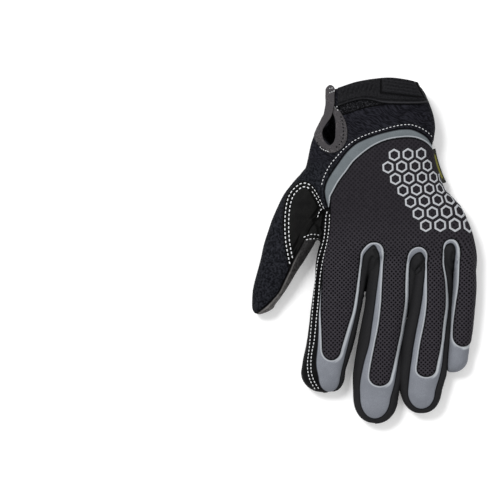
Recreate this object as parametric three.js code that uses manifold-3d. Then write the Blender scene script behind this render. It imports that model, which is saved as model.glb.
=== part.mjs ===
// Utility glove for the left hand, lying palm down with its fingers towards -Y. Millimetres, +Z up.
// The origin is on the floor under the middle of the palm. X runs from the thumb to the little finger.
import * as THREE from "three";
import { mergeVertices } from "three/addons/utils/BufferGeometryUtils.js";
import Module from "manifold-3d";

const wasm = await Module();
wasm.setup();

// Driving dimensions.
const WALL = 2.0; // lined cloth and synthetic leather, sewn together
const SEAM_GAP = 0.3; // between panels that meet at a seam
const PALM_SEAM_HEIGHT = 8; // the palm leather wraps up to this height
const CUFF_SEAM_Y = 45; // where the palm leather ends and the cuff begins, on the palm side
const LAYERS_LOW = 20.5; // the layers on the cuff and thumb reach down their sides to here
const FLATTENED = 1; // how far the round form is pressed flat where it lies on the floor
const FULL_HEIGHT = 60; // taller than anything here, for cutters
const PALM_SIDES = 28;
const FINGER_SIDES = 16;
const INNER_PALM_SIDES = 18;
const INNER_FINGER_SIDES = 8;
const PALM_FULLNESS = 2.5; // exponent of the oval sections: 2 is an ellipse, more is boxier
const FINGER_FULLNESS = 2.3;
const TIP_TURNS = [32, 58, 80]; // sections round a fingertip, in degrees from its last full section
const TIP_TAPER = 0.9; // 1 is a round tip, less is blunter

// Layers that lie on the cuff and thumb, as heights above the cloth.
const LAYERS = {
  thumb_patch: { from: 0.3, to: 1.5 },
  hook_field: { from: 0.3, to: 1.2 },
  slit_binding: { from: 0.3, to: 1.9 },
  wrist_strap: { from: 1.6, to: 3.8 },
};

// The hand's form: one row for each section across Y, from the wrist towards the fingertips.
const PALM = [
  { y: 102, left: -45.5, right: 17, top: 35.5 },
  { y: 92, left: -46.8, right: 19, top: 36.5 },
  { y: 80, left: -48, right: 23.5, top: 37 },
  { y: 68, left: -50, right: 27, top: 37 },
  { y: 60, left: -55, right: 28.2, top: 36.5 },
  { y: 50, left: -58.4, right: 27.5, top: 35.5 },
  { y: 40, left: -60.6, right: 27, top: 34.5 },
  { y: 26, left: -64.5, right: 32, top: 33.5 },
  { y: 14, left: -60, right: 38.4, top: 33 },
  { y: 2, left: -55, right: 48.6, top: 32.5 },
  { y: -10, left: -52.5, right: 53.4, top: 32 },
  { y: -20, left: -53, right: 56, top: 31.3 },
  { y: -27, left: -54, right: 56.8, top: 29.5 },
  { y: -34, left: -55.5, right: 57, top: 25 },
  { y: -41, left: -55.5, right: 56.5, top: 18.5 },
  { y: -48, left: -54, right: 55.5, top: 11 },
  { y: -54, left: -52, right: 53.5, top: 5 },
];

// Each finger: its form, its round tip, and on its back the edges of the mesh tongue and of the grey trim.
const FINGERS = [
  {
    name: "index",
    form: [
      { y: 2, left: -40, right: -28, top: 22, bottom: 4 },
      { y: -20, left: -52, right: -19, top: 27 },
      { y: -34, left: -56, right: -18.2, top: 26 },
      { y: -62, left: -58.2, right: -22.1, top: 24.5 },
      { y: -90, left: -61.6, right: -29, top: 23 },
      { y: -110, left: -64.9, right: -34.8, top: 21 },
    ],
    tip: { x: -49, y: -124.6, z: 9 },
    mesh: [
      { y: -34, left: -50.8, right: -25 },
      { y: -62, left: -52.2, right: -28.8 },
      { y: -78, left: -51.8, right: -33.2 },
      { y: -94, left: -51.3, right: -38 },
    ],
    meshEnd: -101.5,
    trim: [
      { y: -34, left: -50.8, right: -23.1 },
      { y: -62, left: -53, right: -25.8 },
      { y: -90, left: -54.6, right: -31.3 },
      { y: -104, left: -55.6, right: -34.3 },
      { y: -114, left: -53.9, right: -37.1 },
    ],
    trimEnd: -123,
  },
  {
    name: "middle",
    form: [
      { y: 2, left: -8, right: 6, top: 24, bottom: 4 },
      { y: -20, left: -17, right: 14, top: 28.5 },
      { y: -34, left: -16.6, right: 14.4, top: 27.5 },
      { y: -62, left: -20.8, right: 10.9, top: 26 },
      { y: -90, left: -25.7, right: 5.5, top: 25 },
      { y: -112, left: -29.4, right: 3.2, top: 23.5 },
      { y: -128, left: -28.9, right: 2.2, top: 21.5 },
    ],
    tip: { x: -13.5, y: -146.7, z: 9 },
    mesh: [
      { y: -34, left: -8.7, right: 7.4 },
      { y: -62, left: -10.1, right: 6.3 },
      { y: -90, left: -14.4, right: 1.7 },
      { y: -104, left: -17.1, right: -0.9 },
      { y: -113, left: -18.4, right: -3.3 },
    ],
    meshEnd: -119.4,
    trim: [
      { y: -34, left: -11.3, right: 10.2 },
      { y: -62, left: -14.6, right: 9.4 },
      { y: -90, left: -18.7, right: 4.4 },
      { y: -104, left: -22.4, right: 2.5 },
      { y: -118, left: -25.1, right: -0.2 },
      { y: -128, left: -25, right: -3 },
    ],
    trimEnd: -143.2,
  },
  {
    name: "ring",
    form: [
      { y: 2, left: 22, right: 32, top: 24, bottom: 4 },
      { y: -20, left: 16.5, right: 37, top: 28 },
      { y: -34, left: 16, right: 38, top: 27 },
      { y: -62, left: 12.5, right: 38.6, top: 26 },
      { y: -90, left: 7.1, right: 36.4, top: 24.5 },
      { y: -108, left: 5.1, right: 34.9, top: 23 },
      { y: -124, left: 4.9, right: 32.6, top: 21 },
    ],
    tip: { x: 19, y: -140, z: 9 },
    mesh: [
      { y: -34, left: 21.8, right: 32.4 },
      { y: -48, left: 22, right: 34.6 },
      { y: -62, left: 21.8, right: 34.9 },
      { y: -90, left: 17.2, right: 31.9 },
      { y: -108, left: 14.7, right: 28.3 },
    ],
    meshEnd: -113.1,
    trim: [
      { y: -34, left: 20.6, right: 34.3 },
      { y: -48, left: 19.3, right: 36.8 },
      { y: -62, left: 17.7, right: 37.6 },
      { y: -90, left: 12.6, right: 34.7 },
      { y: -106, left: 10.2, right: 33.1 },
      { y: -124, left: 8.6, right: 28.1 },
    ],
    trimEnd: -136.2,
  },
  {
    name: "little",
    form: [
      { y: 8, left: 34, right: 38, top: 20, bottom: 8 },
      { y: -22, left: 40, right: 55.6, top: 25 },
      { y: -48, left: 40.2, right: 56.9, top: 23.5 },
      { y: -76, left: 39.4, right: 54.8, top: 21.5 },
      { y: -96, left: 37.4, right: 51.5, top: 18.5 },
    ],
    tip: { x: 43, y: -110.6, z: 8 },
    mesh: [
      { y: -34, left: 44.8, right: 62 },
      { y: -62, left: 42.5, right: 62 },
      { y: -85, left: 40.3, right: 55 },
    ],
    meshEnd: -92.1,
    trim: [
      { y: -34, left: 40.9, right: 62 },
      { y: -48, left: 39.8, right: 62 },
      { y: -90, left: 37.4, right: 62 },
      { y: -114, left: 37, right: 62 },
    ],
    trimEnd: -116,
  },
];

const THUMB = {
  form: [
    { y: 40, left: -56, right: -36, top: 24, bottom: 3 },
    { y: 25, left: -69.4, right: -38.5, top: 27 },
    { y: 14, left: -78.2, right: -42, top: 28 },
    { y: -10, left: -88, right: -51, top: 27 },
    { y: -20, left: -91.3, right: -55.6, top: 26 },
    { y: -40, left: -95.8, right: -68.6, top: 24.3 },
    { y: -60, left: -100, right: -81.8, top: 21.5 },
  ],
  tip: { x: -96, y: -70, z: 9 },
};

// Half ellipses over the webs between fingers: the mesh's edge, and the grey trim's edge inside it.
const WEBS = [
  { mesh: { y: -26, rise: 7.4 }, trim: { y: -29, rise: 7.6 } },
  { mesh: { y: -28.7, rise: 6.6 }, trim: { y: -32.2, rise: 6.6 } },
  { mesh: { y: -24.5, rise: 7.7 }, trim: { y: -27.3, rise: 7.3 } },
];

// Ends of the centre lines that part each finger's two sides, at the knuckle and beyond the tip.
const CENTRE_LINE = { knuckleY: -10, tipY: -152 };

// Lines in plan, each smoothed through its points as [x, y].
const INDEX_SIDE_SEAM = [[-45.8, 4.5], [-45.9, -4], [-46.6, -14], [-48.6, -22]];
const BAND_LOWER = [
  [30, 41.5], [24, 48], [16.1, 52.6], [4.9, 53.6], [-8, 51.2], [-23.5, 42.2], [-36, 28], [-45.5, 12.6],
];
const BAND_UPPER = [
  [33, 43], [25, 50.6], [16.1, 57.4], [4, 59.5], [-11.9, 56.1], [-26, 50.2], [-37.4, 39.8], [-45.5, 28],
  [-49.8, 16.5],
];
const BAND_END = [[-49.4, 12.5], [-48.2, 7.8], [-46.9, 4.2]];
const CUFF_RIM = [[-75, 84], [-47.6, 86.6], [-30, 90.4], [-7, 93.8], [8, 92.4], [20, 88.5], [50, 82]];
const CUFF_TO_THUMB = [[-50.6, 18.4], [-55, 24.4], [-62, 26.6], [-82, 27]];
const THUMB_SEAM_BY_PATCH = [
  [-50.5, 4], [-54, -1.5], [-59.5, -8.5], [-63, -15.5], [-70.5, -29.5], [-74, -38],
];
const THUMB_SEAM_TO_TIP = [[-78, -47], [-82, -55], [-88.5, -62], [-97, -69], [-104, -74]];
const PATCH_SIDE = [[-76.3, -43], [-78.5, -17.5], [-77, 8], [-70, 20.5], [-60.5, 22.8], [-52.8, 12.6]];
const STRAP_TOP = [[-40.6, 88.5], [-25.9, 93.1], [-7, 95.9], [6, 95], [16.8, 92.1]];
const STRAP_BOTTOM = [[23.5, 78.1], [14, 76.7], [-7, 76.7], [-20.3, 79.5], [-30, 78.4], [-40.6, 75]];
const HOOK_FIELD_BOTTOM = [[17, 79], [-7, 76.5], [-21, 74.2], [-30, 71.4], [-38.2, 68.6]];

// Corners in plan, joined by straight edges.
const PALM_EDGE = [[62, 0], [54, 14], [42, 30], [36, 40]]; // clear of the little finger's side
const HOOK_FIELD_TOP = [[-38.2, 84], [10, 90]];
const THUMB_REGION = [[-51.6, -17], [-51.6, 27], [-130, 27], [-130, -90], [-72, -60], [-54, -20]];
const THUMB_CROTCH = [[-104, -90], [-70, -60], [-52, -17.5], [-51.6, -10], [-50, 3.6]];
const BINDING_STRAND = [
  [-53.4, 63.5], [-48.8, 70], [-48, 78], [-47.7, 87.6], [-43.9, 90.8], [-41.1, 89.6], [-41.1, 79], [-40, 73],
  [-36.7, 66],
];

// The thumb's vent: an oval hole, bound all round, with a slit from it to the cuff's rim under the binding.
const KEYHOLE = { x: -46.4, y: 56.8, radiusX: 4.6, radiusY: 8 };
const BINDING = { x: -45.4, y: 55.4, radiusX: 11.1, radiusY: 12 };
const SLIT = { x: -44.4, width: 1.2, from: 60, to: 100, low: 10 };

const LABEL = { length: 25, width: 8.5, thickness: 1, centre: [33.3, 34, 11.6], turn: 0.36, lean: 0.42 };

// Colours from the photograph.
const material = (color, roughness) => new THREE.MeshStandardMaterial({ color, roughness, metalness: 0 });
const MATERIALS = {
  mesh_cloth: material(0x2b292c, 0.85),
  grey_trim: material(0x858b91, 0.8),
  stretch_cloth: material(0x161617, 0.8),
  palm_leather: material(0x1c1b1b, 0.6),
  cuff_cloth: material(0x1f1f22, 0.9),
  strap_rubber: material(0x19191a, 0.5),
  binding_cloth: material(0x454143, 0.8),
  hook_pile: material(0x18181a, 0.95),
  label_cloth: material(0xd6c020, 0.7),
};

// Turns a closed three.js geometry into a solid that can be cut and joined.
function solid(geometry) {
  geometry.deleteAttribute("normal");
  geometry.deleteAttribute("uv");
  const merged = mergeVertices(geometry, 1e-4);
  return new wasm.Manifold(
    new wasm.Mesh({
      numProp: 3,
      vertProperties: new Float32Array(merged.attributes.position.array),
      triVerts: new Uint32Array(merged.index.array),
    }),
  );
}

// Rows that close a finger's end along a quarter round.
function roundTip(last, tip, inset) {
  const middle = { x: (last.left + last.right) / 2, z: (last.top - FLATTENED) / 2 };
  return TIP_TURNS.map(THREE.MathUtils.degToRad).map((turn) => {
    const along = Math.sin(turn);
    const keep = Math.cos(turn) ** TIP_TAPER;
    const x = THREE.MathUtils.lerp(middle.x, tip.x, along * along);
    const z = THREE.MathUtils.lerp(middle.z, tip.z, along * along);
    const halfWidth = ((last.right - last.left) / 2) * keep;
    const halfHeight = ((last.top + FLATTENED) / 2) * keep;
    return {
      y: THREE.MathUtils.lerp(last.y, tip.y + inset, along),
      left: x - halfWidth,
      right: x + halfWidth,
      top: z + halfHeight,
      bottom: z - halfHeight,
      inset: inset * keep,
    };
  });
}

// A cylinder reshaped through a table of sections, each an oval across Y, inset from the table's sizes.
function loft(rows, sides, fullness, inset) {
  const geometry = new THREE.CylinderGeometry(1, 1, 1, sides, rows.length - 1);
  const position = geometry.attributes.position;
  const bulge = (value) => Math.sign(value) * Math.abs(value) ** (2 / fullness);
  for (let i = 0; i < position.count; i += 1) {
    const row = rows[Math.round((0.5 - position.getY(i)) * (rows.length - 1))];
    const bottom = row.bottom ?? -FLATTENED;
    const shrink = row.inset ?? inset;
    const halfWidth = (row.right - row.left) / 2 - shrink;
    const halfHeight = (row.top - bottom) / 2 - shrink;
    position.setXYZ(
      i,
      (row.left + row.right) / 2 + halfWidth * bulge(position.getX(i)),
      row.y,
      (row.top + bottom) / 2 + halfHeight * bulge(position.getZ(i)),
    );
  }
  return solid(geometry);
}

// The whole hand as one solid, moved in from its outline by inset, or out where inset is negative.
function hand(inset, palmSides = PALM_SIDES, fingerSides = FINGER_SIDES) {
  const digits = [...FINGERS, THUMB].map(({ form, tip }) =>
    loft([...form, ...roundTip(form.at(-1), tip, inset)], fingerSides, FINGER_FULLNESS, inset),
  );
  const whole = digits.reduce((sum, digit) => sum.add(digit), loft(PALM, palmSides, PALM_FULLNESS, inset));
  return whole.intersect(between(Math.max(inset, 0), FULL_HEIGHT));
}

// Everything between two heights.
function between(low, high) {
  const slab = new THREE.BoxGeometry(400, 400, high - low);
  slab.translate(0, 0, (low + high) / 2);
  return solid(slab);
}

// A line smoothed through points in plan.
const smooth = (points, steps = points.length * 2) =>
  new THREE.SplineCurve(points.map(([x, y]) => new THREE.Vector2(x, y)))
    .getPoints(steps)
    .map((point) => [point.x, point.y]);

// Half an ellipse from one X to another at the same Y, bulging towards +Y by rise.
function arch(fromX, toX, y, rise, steps = 5) {
  const points = [];
  for (let i = 0; i <= steps; i += 1) {
    const turn = (Math.PI * i) / steps;
    const middle = (fromX + toX) / 2;
    points.push([middle - ((toX - fromX) / 2) * Math.cos(turn), y + rise * Math.sin(turn)]);
  }
  return points;
}

// Moves each edge of a closed outline outwards by a distance, or inwards where it is negative.
function offset(outline, distance) {
  const turn = Math.sign(THREE.ShapeUtils.area(outline.map(([x, y]) => ({ x, y }))));
  const outwards = outline.map(([x, y], i) => {
    const [nextX, nextY] = outline[(i + 1) % outline.length];
    return new THREE.Vector2((nextY - y) * turn, (x - nextX) * turn).normalize();
  });
  return outline.map(([x, y], i) => {
    const before = outwards.at(i - 1);
    const after = outwards[i];
    const reach = distance / Math.max(1 + before.dot(after), 0.25);
    return [x + (before.x + after.x) * reach, y + (before.y + after.y) * reach];
  });
}

// Whether a point of a closed outline is a corner, not just a point on a straight edge.
function isCorner([x, y], i, outline) {
  const [beforeX, beforeY] = outline.at(i - 1);
  const [afterX, afterY] = outline[(i + 1) % outline.length];
  return Math.abs((x - beforeX) * (afterY - y) - (y - beforeY) * (afterX - x)) > 1e-3;
}

// An upright cutter with an outline in plan, shrunk or grown by half a seam gap.
function prism(outline, grow = 0) {
  const corners = outline.filter(isCorner);
  const moved = grow ? offset(corners, (grow * SEAM_GAP) / 2) : corners;
  const shape = new THREE.Shape(moved.map(([x, y]) => new THREE.Vector2(x, y)));
  const geometry = new THREE.ExtrudeGeometry(shape, { depth: FULL_HEIGHT + 20, bevelEnabled: false });
  geometry.translate(0, 0, -10);
  return solid(geometry);
}

// Outlines the back of the hand with a tongue down each finger: the "mesh", or the "trim" that rims it.
function backOutline(layer) {
  const points = smooth(INDEX_SIDE_SEAM, 6);
  FINGERS.forEach((finger, i) => {
    const rows = finger[layer];
    const last = rows.at(-1);
    points.push(...rows.slice(0, -1).map((row) => [row.left, row.y]));
    points.push(...arch(last.left, last.right, last.y, finger[layer + "End"] - last.y));
    points.push(...rows.slice(0, -1).reverse().map((row) => [row.right, row.y]));
    const web = WEBS[i]?.[layer];
    if (web) {
      const next = FINGERS[i + 1][layer][0];
      points.push(...arch(rows[0].right - 0.3, next.left - 0.2, web.y, web.rise));
    }
  });
  return [...points, ...PALM_EDGE, ...smooth(BAND_LOWER, 16)];
}

// The line down the middle of a finger in plan, from the knuckle to beyond the tip.
function centreLine({ form, tip }) {
  const points = form.slice(1).map(({ y, left, right }) => [(left + right) / 2, y]);
  return [[points[0][0], CENTRE_LINE.knuckleY], ...points, [tip.x, CENTRE_LINE.tipY]];
}

// The strip between two lines that run the same way.
const strip = (left, right) => [...left, ...[...right].reverse()];

// An oval in plan.
const oval = ({ x, y, radiusX, radiusY }, sides = 16) =>
  new THREE.EllipseCurve(x, y, radiusX, radiusY).getPoints(sides).slice(1).map((point) => [point.x, point.y]);

// A rectangle in plan.
const rectangle = (left, right, low, high) => [[left, low], [right, low], [right, high], [left, high]];

// Keeps the largest body of a cut, and drops crumbs.
function largest(cut) {
  return cut.decompose().reduce((best, body) => (body.volume() > best.volume() ? body : best));
}

const thumbSeam = [...smooth(THUMB_SEAM_BY_PATCH), ...smooth(THUMB_SEAM_TO_TIP)];
const outlines = {
  mesh: backOutline("mesh"),
  trim: backOutline("trim"),
  band: [...smooth(BAND_UPPER), ...BAND_END, ...smooth(BAND_LOWER).reverse()],
  glove: [[-140, -180], [120, -180], [120, 80], ...smooth(CUFF_RIM).reverse(), [-140, 84]],
  cuffBack: [...smooth(BAND_UPPER), ...CUFF_TO_THUMB, [-120, 30], [-120, 130], [120, 130], [120, 40]],
  cuffPalmSide: rectangle(-120, 120, CUFF_SEAM_Y, 130),
  thumb: [...CUFF_TO_THUMB, [-130, 27], [-130, -90], ...[...thumbSeam].reverse()],
  thumbSide: [...thumbSeam, ...THUMB_CROTCH],
  patch: [...smooth(PATCH_SIDE), ...smooth(THUMB_SEAM_BY_PATCH)],
  strap: [...smooth(STRAP_TOP), ...smooth(STRAP_BOTTOM)],
  hookField: [...HOOK_FIELD_TOP, ...smooth(HOOK_FIELD_BOTTOM)],
  indexSide: strip([[-50, 12], [-52, -17], [-90, -152]], [[-40, 12], ...centreLine(FINGERS[0])]),
};

const shell = hand(0)
  .subtract(hand(WALL, INNER_PALM_SIDES, INNER_FINGER_SIDES))
  .intersect(prism(outlines.glove));
const upper = shell.intersect(between(PALM_SEAM_HEIGHT + SEAM_GAP / 2, FULL_HEIGHT));
const lower = shell.intersect(between(0, PALM_SEAM_HEIGHT - SEAM_GAP / 2));
const meshGrown = prism(outlines.mesh, 1);
const bandGrown = prism(outlines.band, 1);

// What the other panels leave of the upper shell: the sides of the fingers.
const fingerSides = [meshGrown, bandGrown, prism(outlines.trim, 1)]
  .concat(["cuffBack", "thumb", "thumbSide"].map((name) => prism(outlines[name], 1)))
  .reduce((rest, region) => rest.subtract(region), upper);

// A layer of cloth on the outside of the glove, between two heights above it.
const layer = ({ from, to }, region) =>
  hand(-to).subtract(hand(-from)).intersect(between(LAYERS_LOW, FULL_HEIGHT)).intersect(region);

// The cuff is one tube: its palm side reaches a straight seam, and its back reaches the grey band.
function cuffTube() {
  const back = prism(outlines.cuffBack, -1);
  const palmSide = prism(outlines.cuffPalmSide, -1);
  const slit = new THREE.BoxGeometry(SLIT.width, SLIT.to - SLIT.from, FULL_HEIGHT);
  slit.translate(SLIT.x, (SLIT.from + SLIT.to) / 2, SLIT.low + FULL_HEIGHT / 2);
  const keyhole = prism(oval(KEYHOLE), 1).intersect(between(SLIT.low, FULL_HEIGHT));
  return upper
    .intersect(back)
    .add(lower.intersect(palmSide))
    .add(shell.intersect(back).intersect(palmSide))
    .subtract(keyhole)
    .subtract(solid(slit));
}

const bindingRegion = prism(oval(BINDING)).add(prism(BINDING_STRAND));

// Each sub-part of the glove: its look and its solid.
const parts = {
  back_panel: [MATERIALS.mesh_cloth, upper.intersect(prism(outlines.mesh, -1))],
  finger_trim: [
    MATERIALS.grey_trim,
    upper.intersect(prism(outlines.trim, -1)).subtract(meshGrown).subtract(bandGrown),
  ],
  wrist_band: [MATERIALS.grey_trim, upper.intersect(prism(outlines.band, -1))],
  index_side_panel: [MATERIALS.palm_leather, fingerSides.intersect(prism(outlines.indexSide, -1))],
  thumb_back: [MATERIALS.cuff_cloth, upper.intersect(prism(outlines.thumb, -1))],
  thumb_side: [MATERIALS.palm_leather, upper.intersect(prism(outlines.thumbSide, -1))],
  thumb_palm: [MATERIALS.palm_leather, lower.intersect(prism(THUMB_REGION, -1))],
  palm_panel: [
    MATERIALS.palm_leather,
    lower.subtract(prism(THUMB_REGION, 1)).subtract(prism(outlines.cuffPalmSide, 1)),
  ],
  cuff: [MATERIALS.cuff_cloth, cuffTube()],
  thumb_patch: [MATERIALS.palm_leather, layer(LAYERS.thumb_patch, prism(outlines.patch, -1))],
  hook_field: [MATERIALS.hook_pile, layer(LAYERS.hook_field, prism(outlines.hookField, -1))],
  slit_binding: [
    MATERIALS.binding_cloth,
    layer(LAYERS.slit_binding, bindingRegion.subtract(prism(oval(KEYHOLE)))),
  ],
  wrist_strap: [MATERIALS.strap_rubber, layer(LAYERS.wrist_strap, prism(outlines.strap, -1))],
};

// The stretch strips between neighbouring fingers, each from one finger's centre line to the next one's.
FINGERS.slice(1).forEach((finger, i) => {
  const outline = strip(centreLine(FINGERS[i]), centreLine(finger));
  const cut = fingerSides.intersect(prism(outline, -1));
  parts[`fourchette_${FINGERS[i].name}_${finger.name}`] = [MATERIALS.stretch_cloth, cut];
});

const glove = new THREE.Group();
for (const [name, [look, cut]] of Object.entries(parts)) {
  const mesh = largest(cut).getMesh();
  const geometry = new THREE.BufferGeometry();
  geometry.setAttribute("position", new THREE.BufferAttribute(new Float32Array(mesh.vertProperties), 3));
  geometry.setIndex(new THREE.BufferAttribute(new Uint32Array(mesh.triVerts), 1));
  const part = new THREE.Mesh(geometry, look);
  part.name = name;
  glove.add(part);
}

// A plain tab sewn into the side seam near the wrist.
const label = new THREE.Mesh(
  new THREE.BoxGeometry(LABEL.thickness, LABEL.length, LABEL.width),
  MATERIALS.label_cloth,
);
label.name = "side_label";
label.rotation.set(0, -LABEL.lean, LABEL.turn, "ZYX");
label.position.set(...LABEL.centre);
glove.add(label);

export default glove;
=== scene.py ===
# %% [markdown]
# # A utility glove, lying palm down
# The glove is a left-hand work glove that is sewn from about a dozen cloth and leather panels. This lesson models it
# the way a glove maker does: first the hand's form, then the panels are marked and cut out on that form, then each
# panel gets its own loft, edge and finish, and last come the trims, the strap and the stitches.
# All sizes below are in millimetres and are turned into Blender's metres where a mesh is made.

# %% The frame
import math
from collections import namedtuple

import bmesh
import bpy
import numpy as np
from mathutils import Matrix, Vector, kdtree, noise
from mathutils.bvhtree import BVHTree
from mathutils.geometry import barycentric_transform


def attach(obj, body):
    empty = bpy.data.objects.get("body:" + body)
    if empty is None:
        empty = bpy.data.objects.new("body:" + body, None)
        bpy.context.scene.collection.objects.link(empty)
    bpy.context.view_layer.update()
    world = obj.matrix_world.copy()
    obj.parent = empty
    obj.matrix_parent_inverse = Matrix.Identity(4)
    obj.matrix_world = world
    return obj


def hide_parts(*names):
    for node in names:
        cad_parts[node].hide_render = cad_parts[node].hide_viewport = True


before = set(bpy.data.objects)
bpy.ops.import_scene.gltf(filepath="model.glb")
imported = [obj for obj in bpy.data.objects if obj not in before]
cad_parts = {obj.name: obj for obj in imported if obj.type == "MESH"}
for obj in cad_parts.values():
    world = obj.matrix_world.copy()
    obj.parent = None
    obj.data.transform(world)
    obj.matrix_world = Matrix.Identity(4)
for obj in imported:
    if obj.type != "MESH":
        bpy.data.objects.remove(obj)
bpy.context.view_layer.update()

MM = 0.001

# %% [markdown]
# ## Camera, light and floor
# The glove is seen from straight above, its fingers towards the bottom of the picture. A long lens keeps the tall
# cuff and the low fingertips at the same scale. The floor is nearly white and glows a little, as a light table does,
# so the gaps between the fingers stay pale. A broad lamp up and to the left gives the soft shadow on the right, and
# a pale world fills it in.

# %% Camera
VIEW_CENTRE = (-101.5, -24.5)  # the point of the floor in the middle of the picture
VIEW_WIDTH = 350.0
SCALE_HEIGHT = 16.0  # the level above the floor that is in true scale
LENS = 250.0

bpy.ops.object.camera_add()
camera = bpy.context.object
camera.name = "camera"
camera.data.lens = LENS
camera.data.clip_end = 20
distance = VIEW_WIDTH * LENS / camera.data.sensor_width
camera.location = (VIEW_CENTRE[0] * MM, VIEW_CENTRE[1] * MM, (distance + SCALE_HEIGHT) * MM)
camera.rotation_euler = (0, 0, 0)
bpy.context.scene.camera = camera
bpy.context.scene.view_settings.view_transform = "Standard"
print("camera height in m:", round(camera.location.z, 3))

# %% Light
def soft_lamp(name, place, size, watts):
    """An area lamp that faces the middle of the glove and doesn't show itself."""
    bpy.ops.object.light_add(type="AREA", location=place)
    lamp = bpy.context.object
    lamp.name = name
    lamp.data.shape = "DISK"
    lamp.data.size = size
    lamp.data.energy = watts
    lamp.visible_camera = False
    aim = Vector((-0.02, -0.02, 0.0)) - Vector(place)
    lamp.rotation_euler = aim.to_track_quat("-Z", "Y").to_euler()
    return lamp


soft_lamp("key_lamp", (-0.55, 0.55, 1.25), 0.55, 17.0)
soft_lamp("fill_lamp", (0.5, -0.5, 1.4), 1.2, 5.0)
world = bpy.data.worlds.new("studio")
world.use_nodes = True
world.node_tree.nodes["Background"].inputs["Color"].default_value = (1.0, 1.0, 1.0, 1.0)
world.node_tree.nodes["Background"].inputs["Strength"].default_value = 0.62
bpy.context.scene.world = world

# %% Floor
bpy.ops.mesh.primitive_plane_add(size=8.0, location=(0, 0, -0.0002))
floor = bpy.context.object
floor.name = "floor"
floor_look = bpy.data.materials.new("pale_floor")
floor_look.use_nodes = True
paper = floor_look.node_tree.nodes["Principled BSDF"].inputs
paper["Base Color"].default_value = (0.93, 0.93, 0.93, 1)
paper["Roughness"].default_value = 0.9
paper["Emission Color"].default_value = (1, 1, 1, 1)
paper["Emission Strength"].default_value = 0.12
floor.data.materials.append(floor_look)
print("floor width in m:", floor.dimensions.x)

# %% [markdown]
# ## The hand's form
# A glove maker sews over a hand-shaped form. Here each finger, the thumb and the palm is a tube lofted through a
# short table of sections: where it lies across Y, its left and right edge, and its top. The tubes overlap, and a
# voxel remesh makes one skin of them, as clay would. Neighbouring fingers keep a small gap, so they stay apart.

# %% Tables of the form
Section = namedtuple("Section", "y left right top bottom", defaults=[-1.0])
Spot = namedtuple("Spot", "x y z")
Edges = namedtuple("Edges", "y left right")
Finger = namedtuple("Finger", "name form tip mesh mesh_end trim trim_end")

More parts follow.
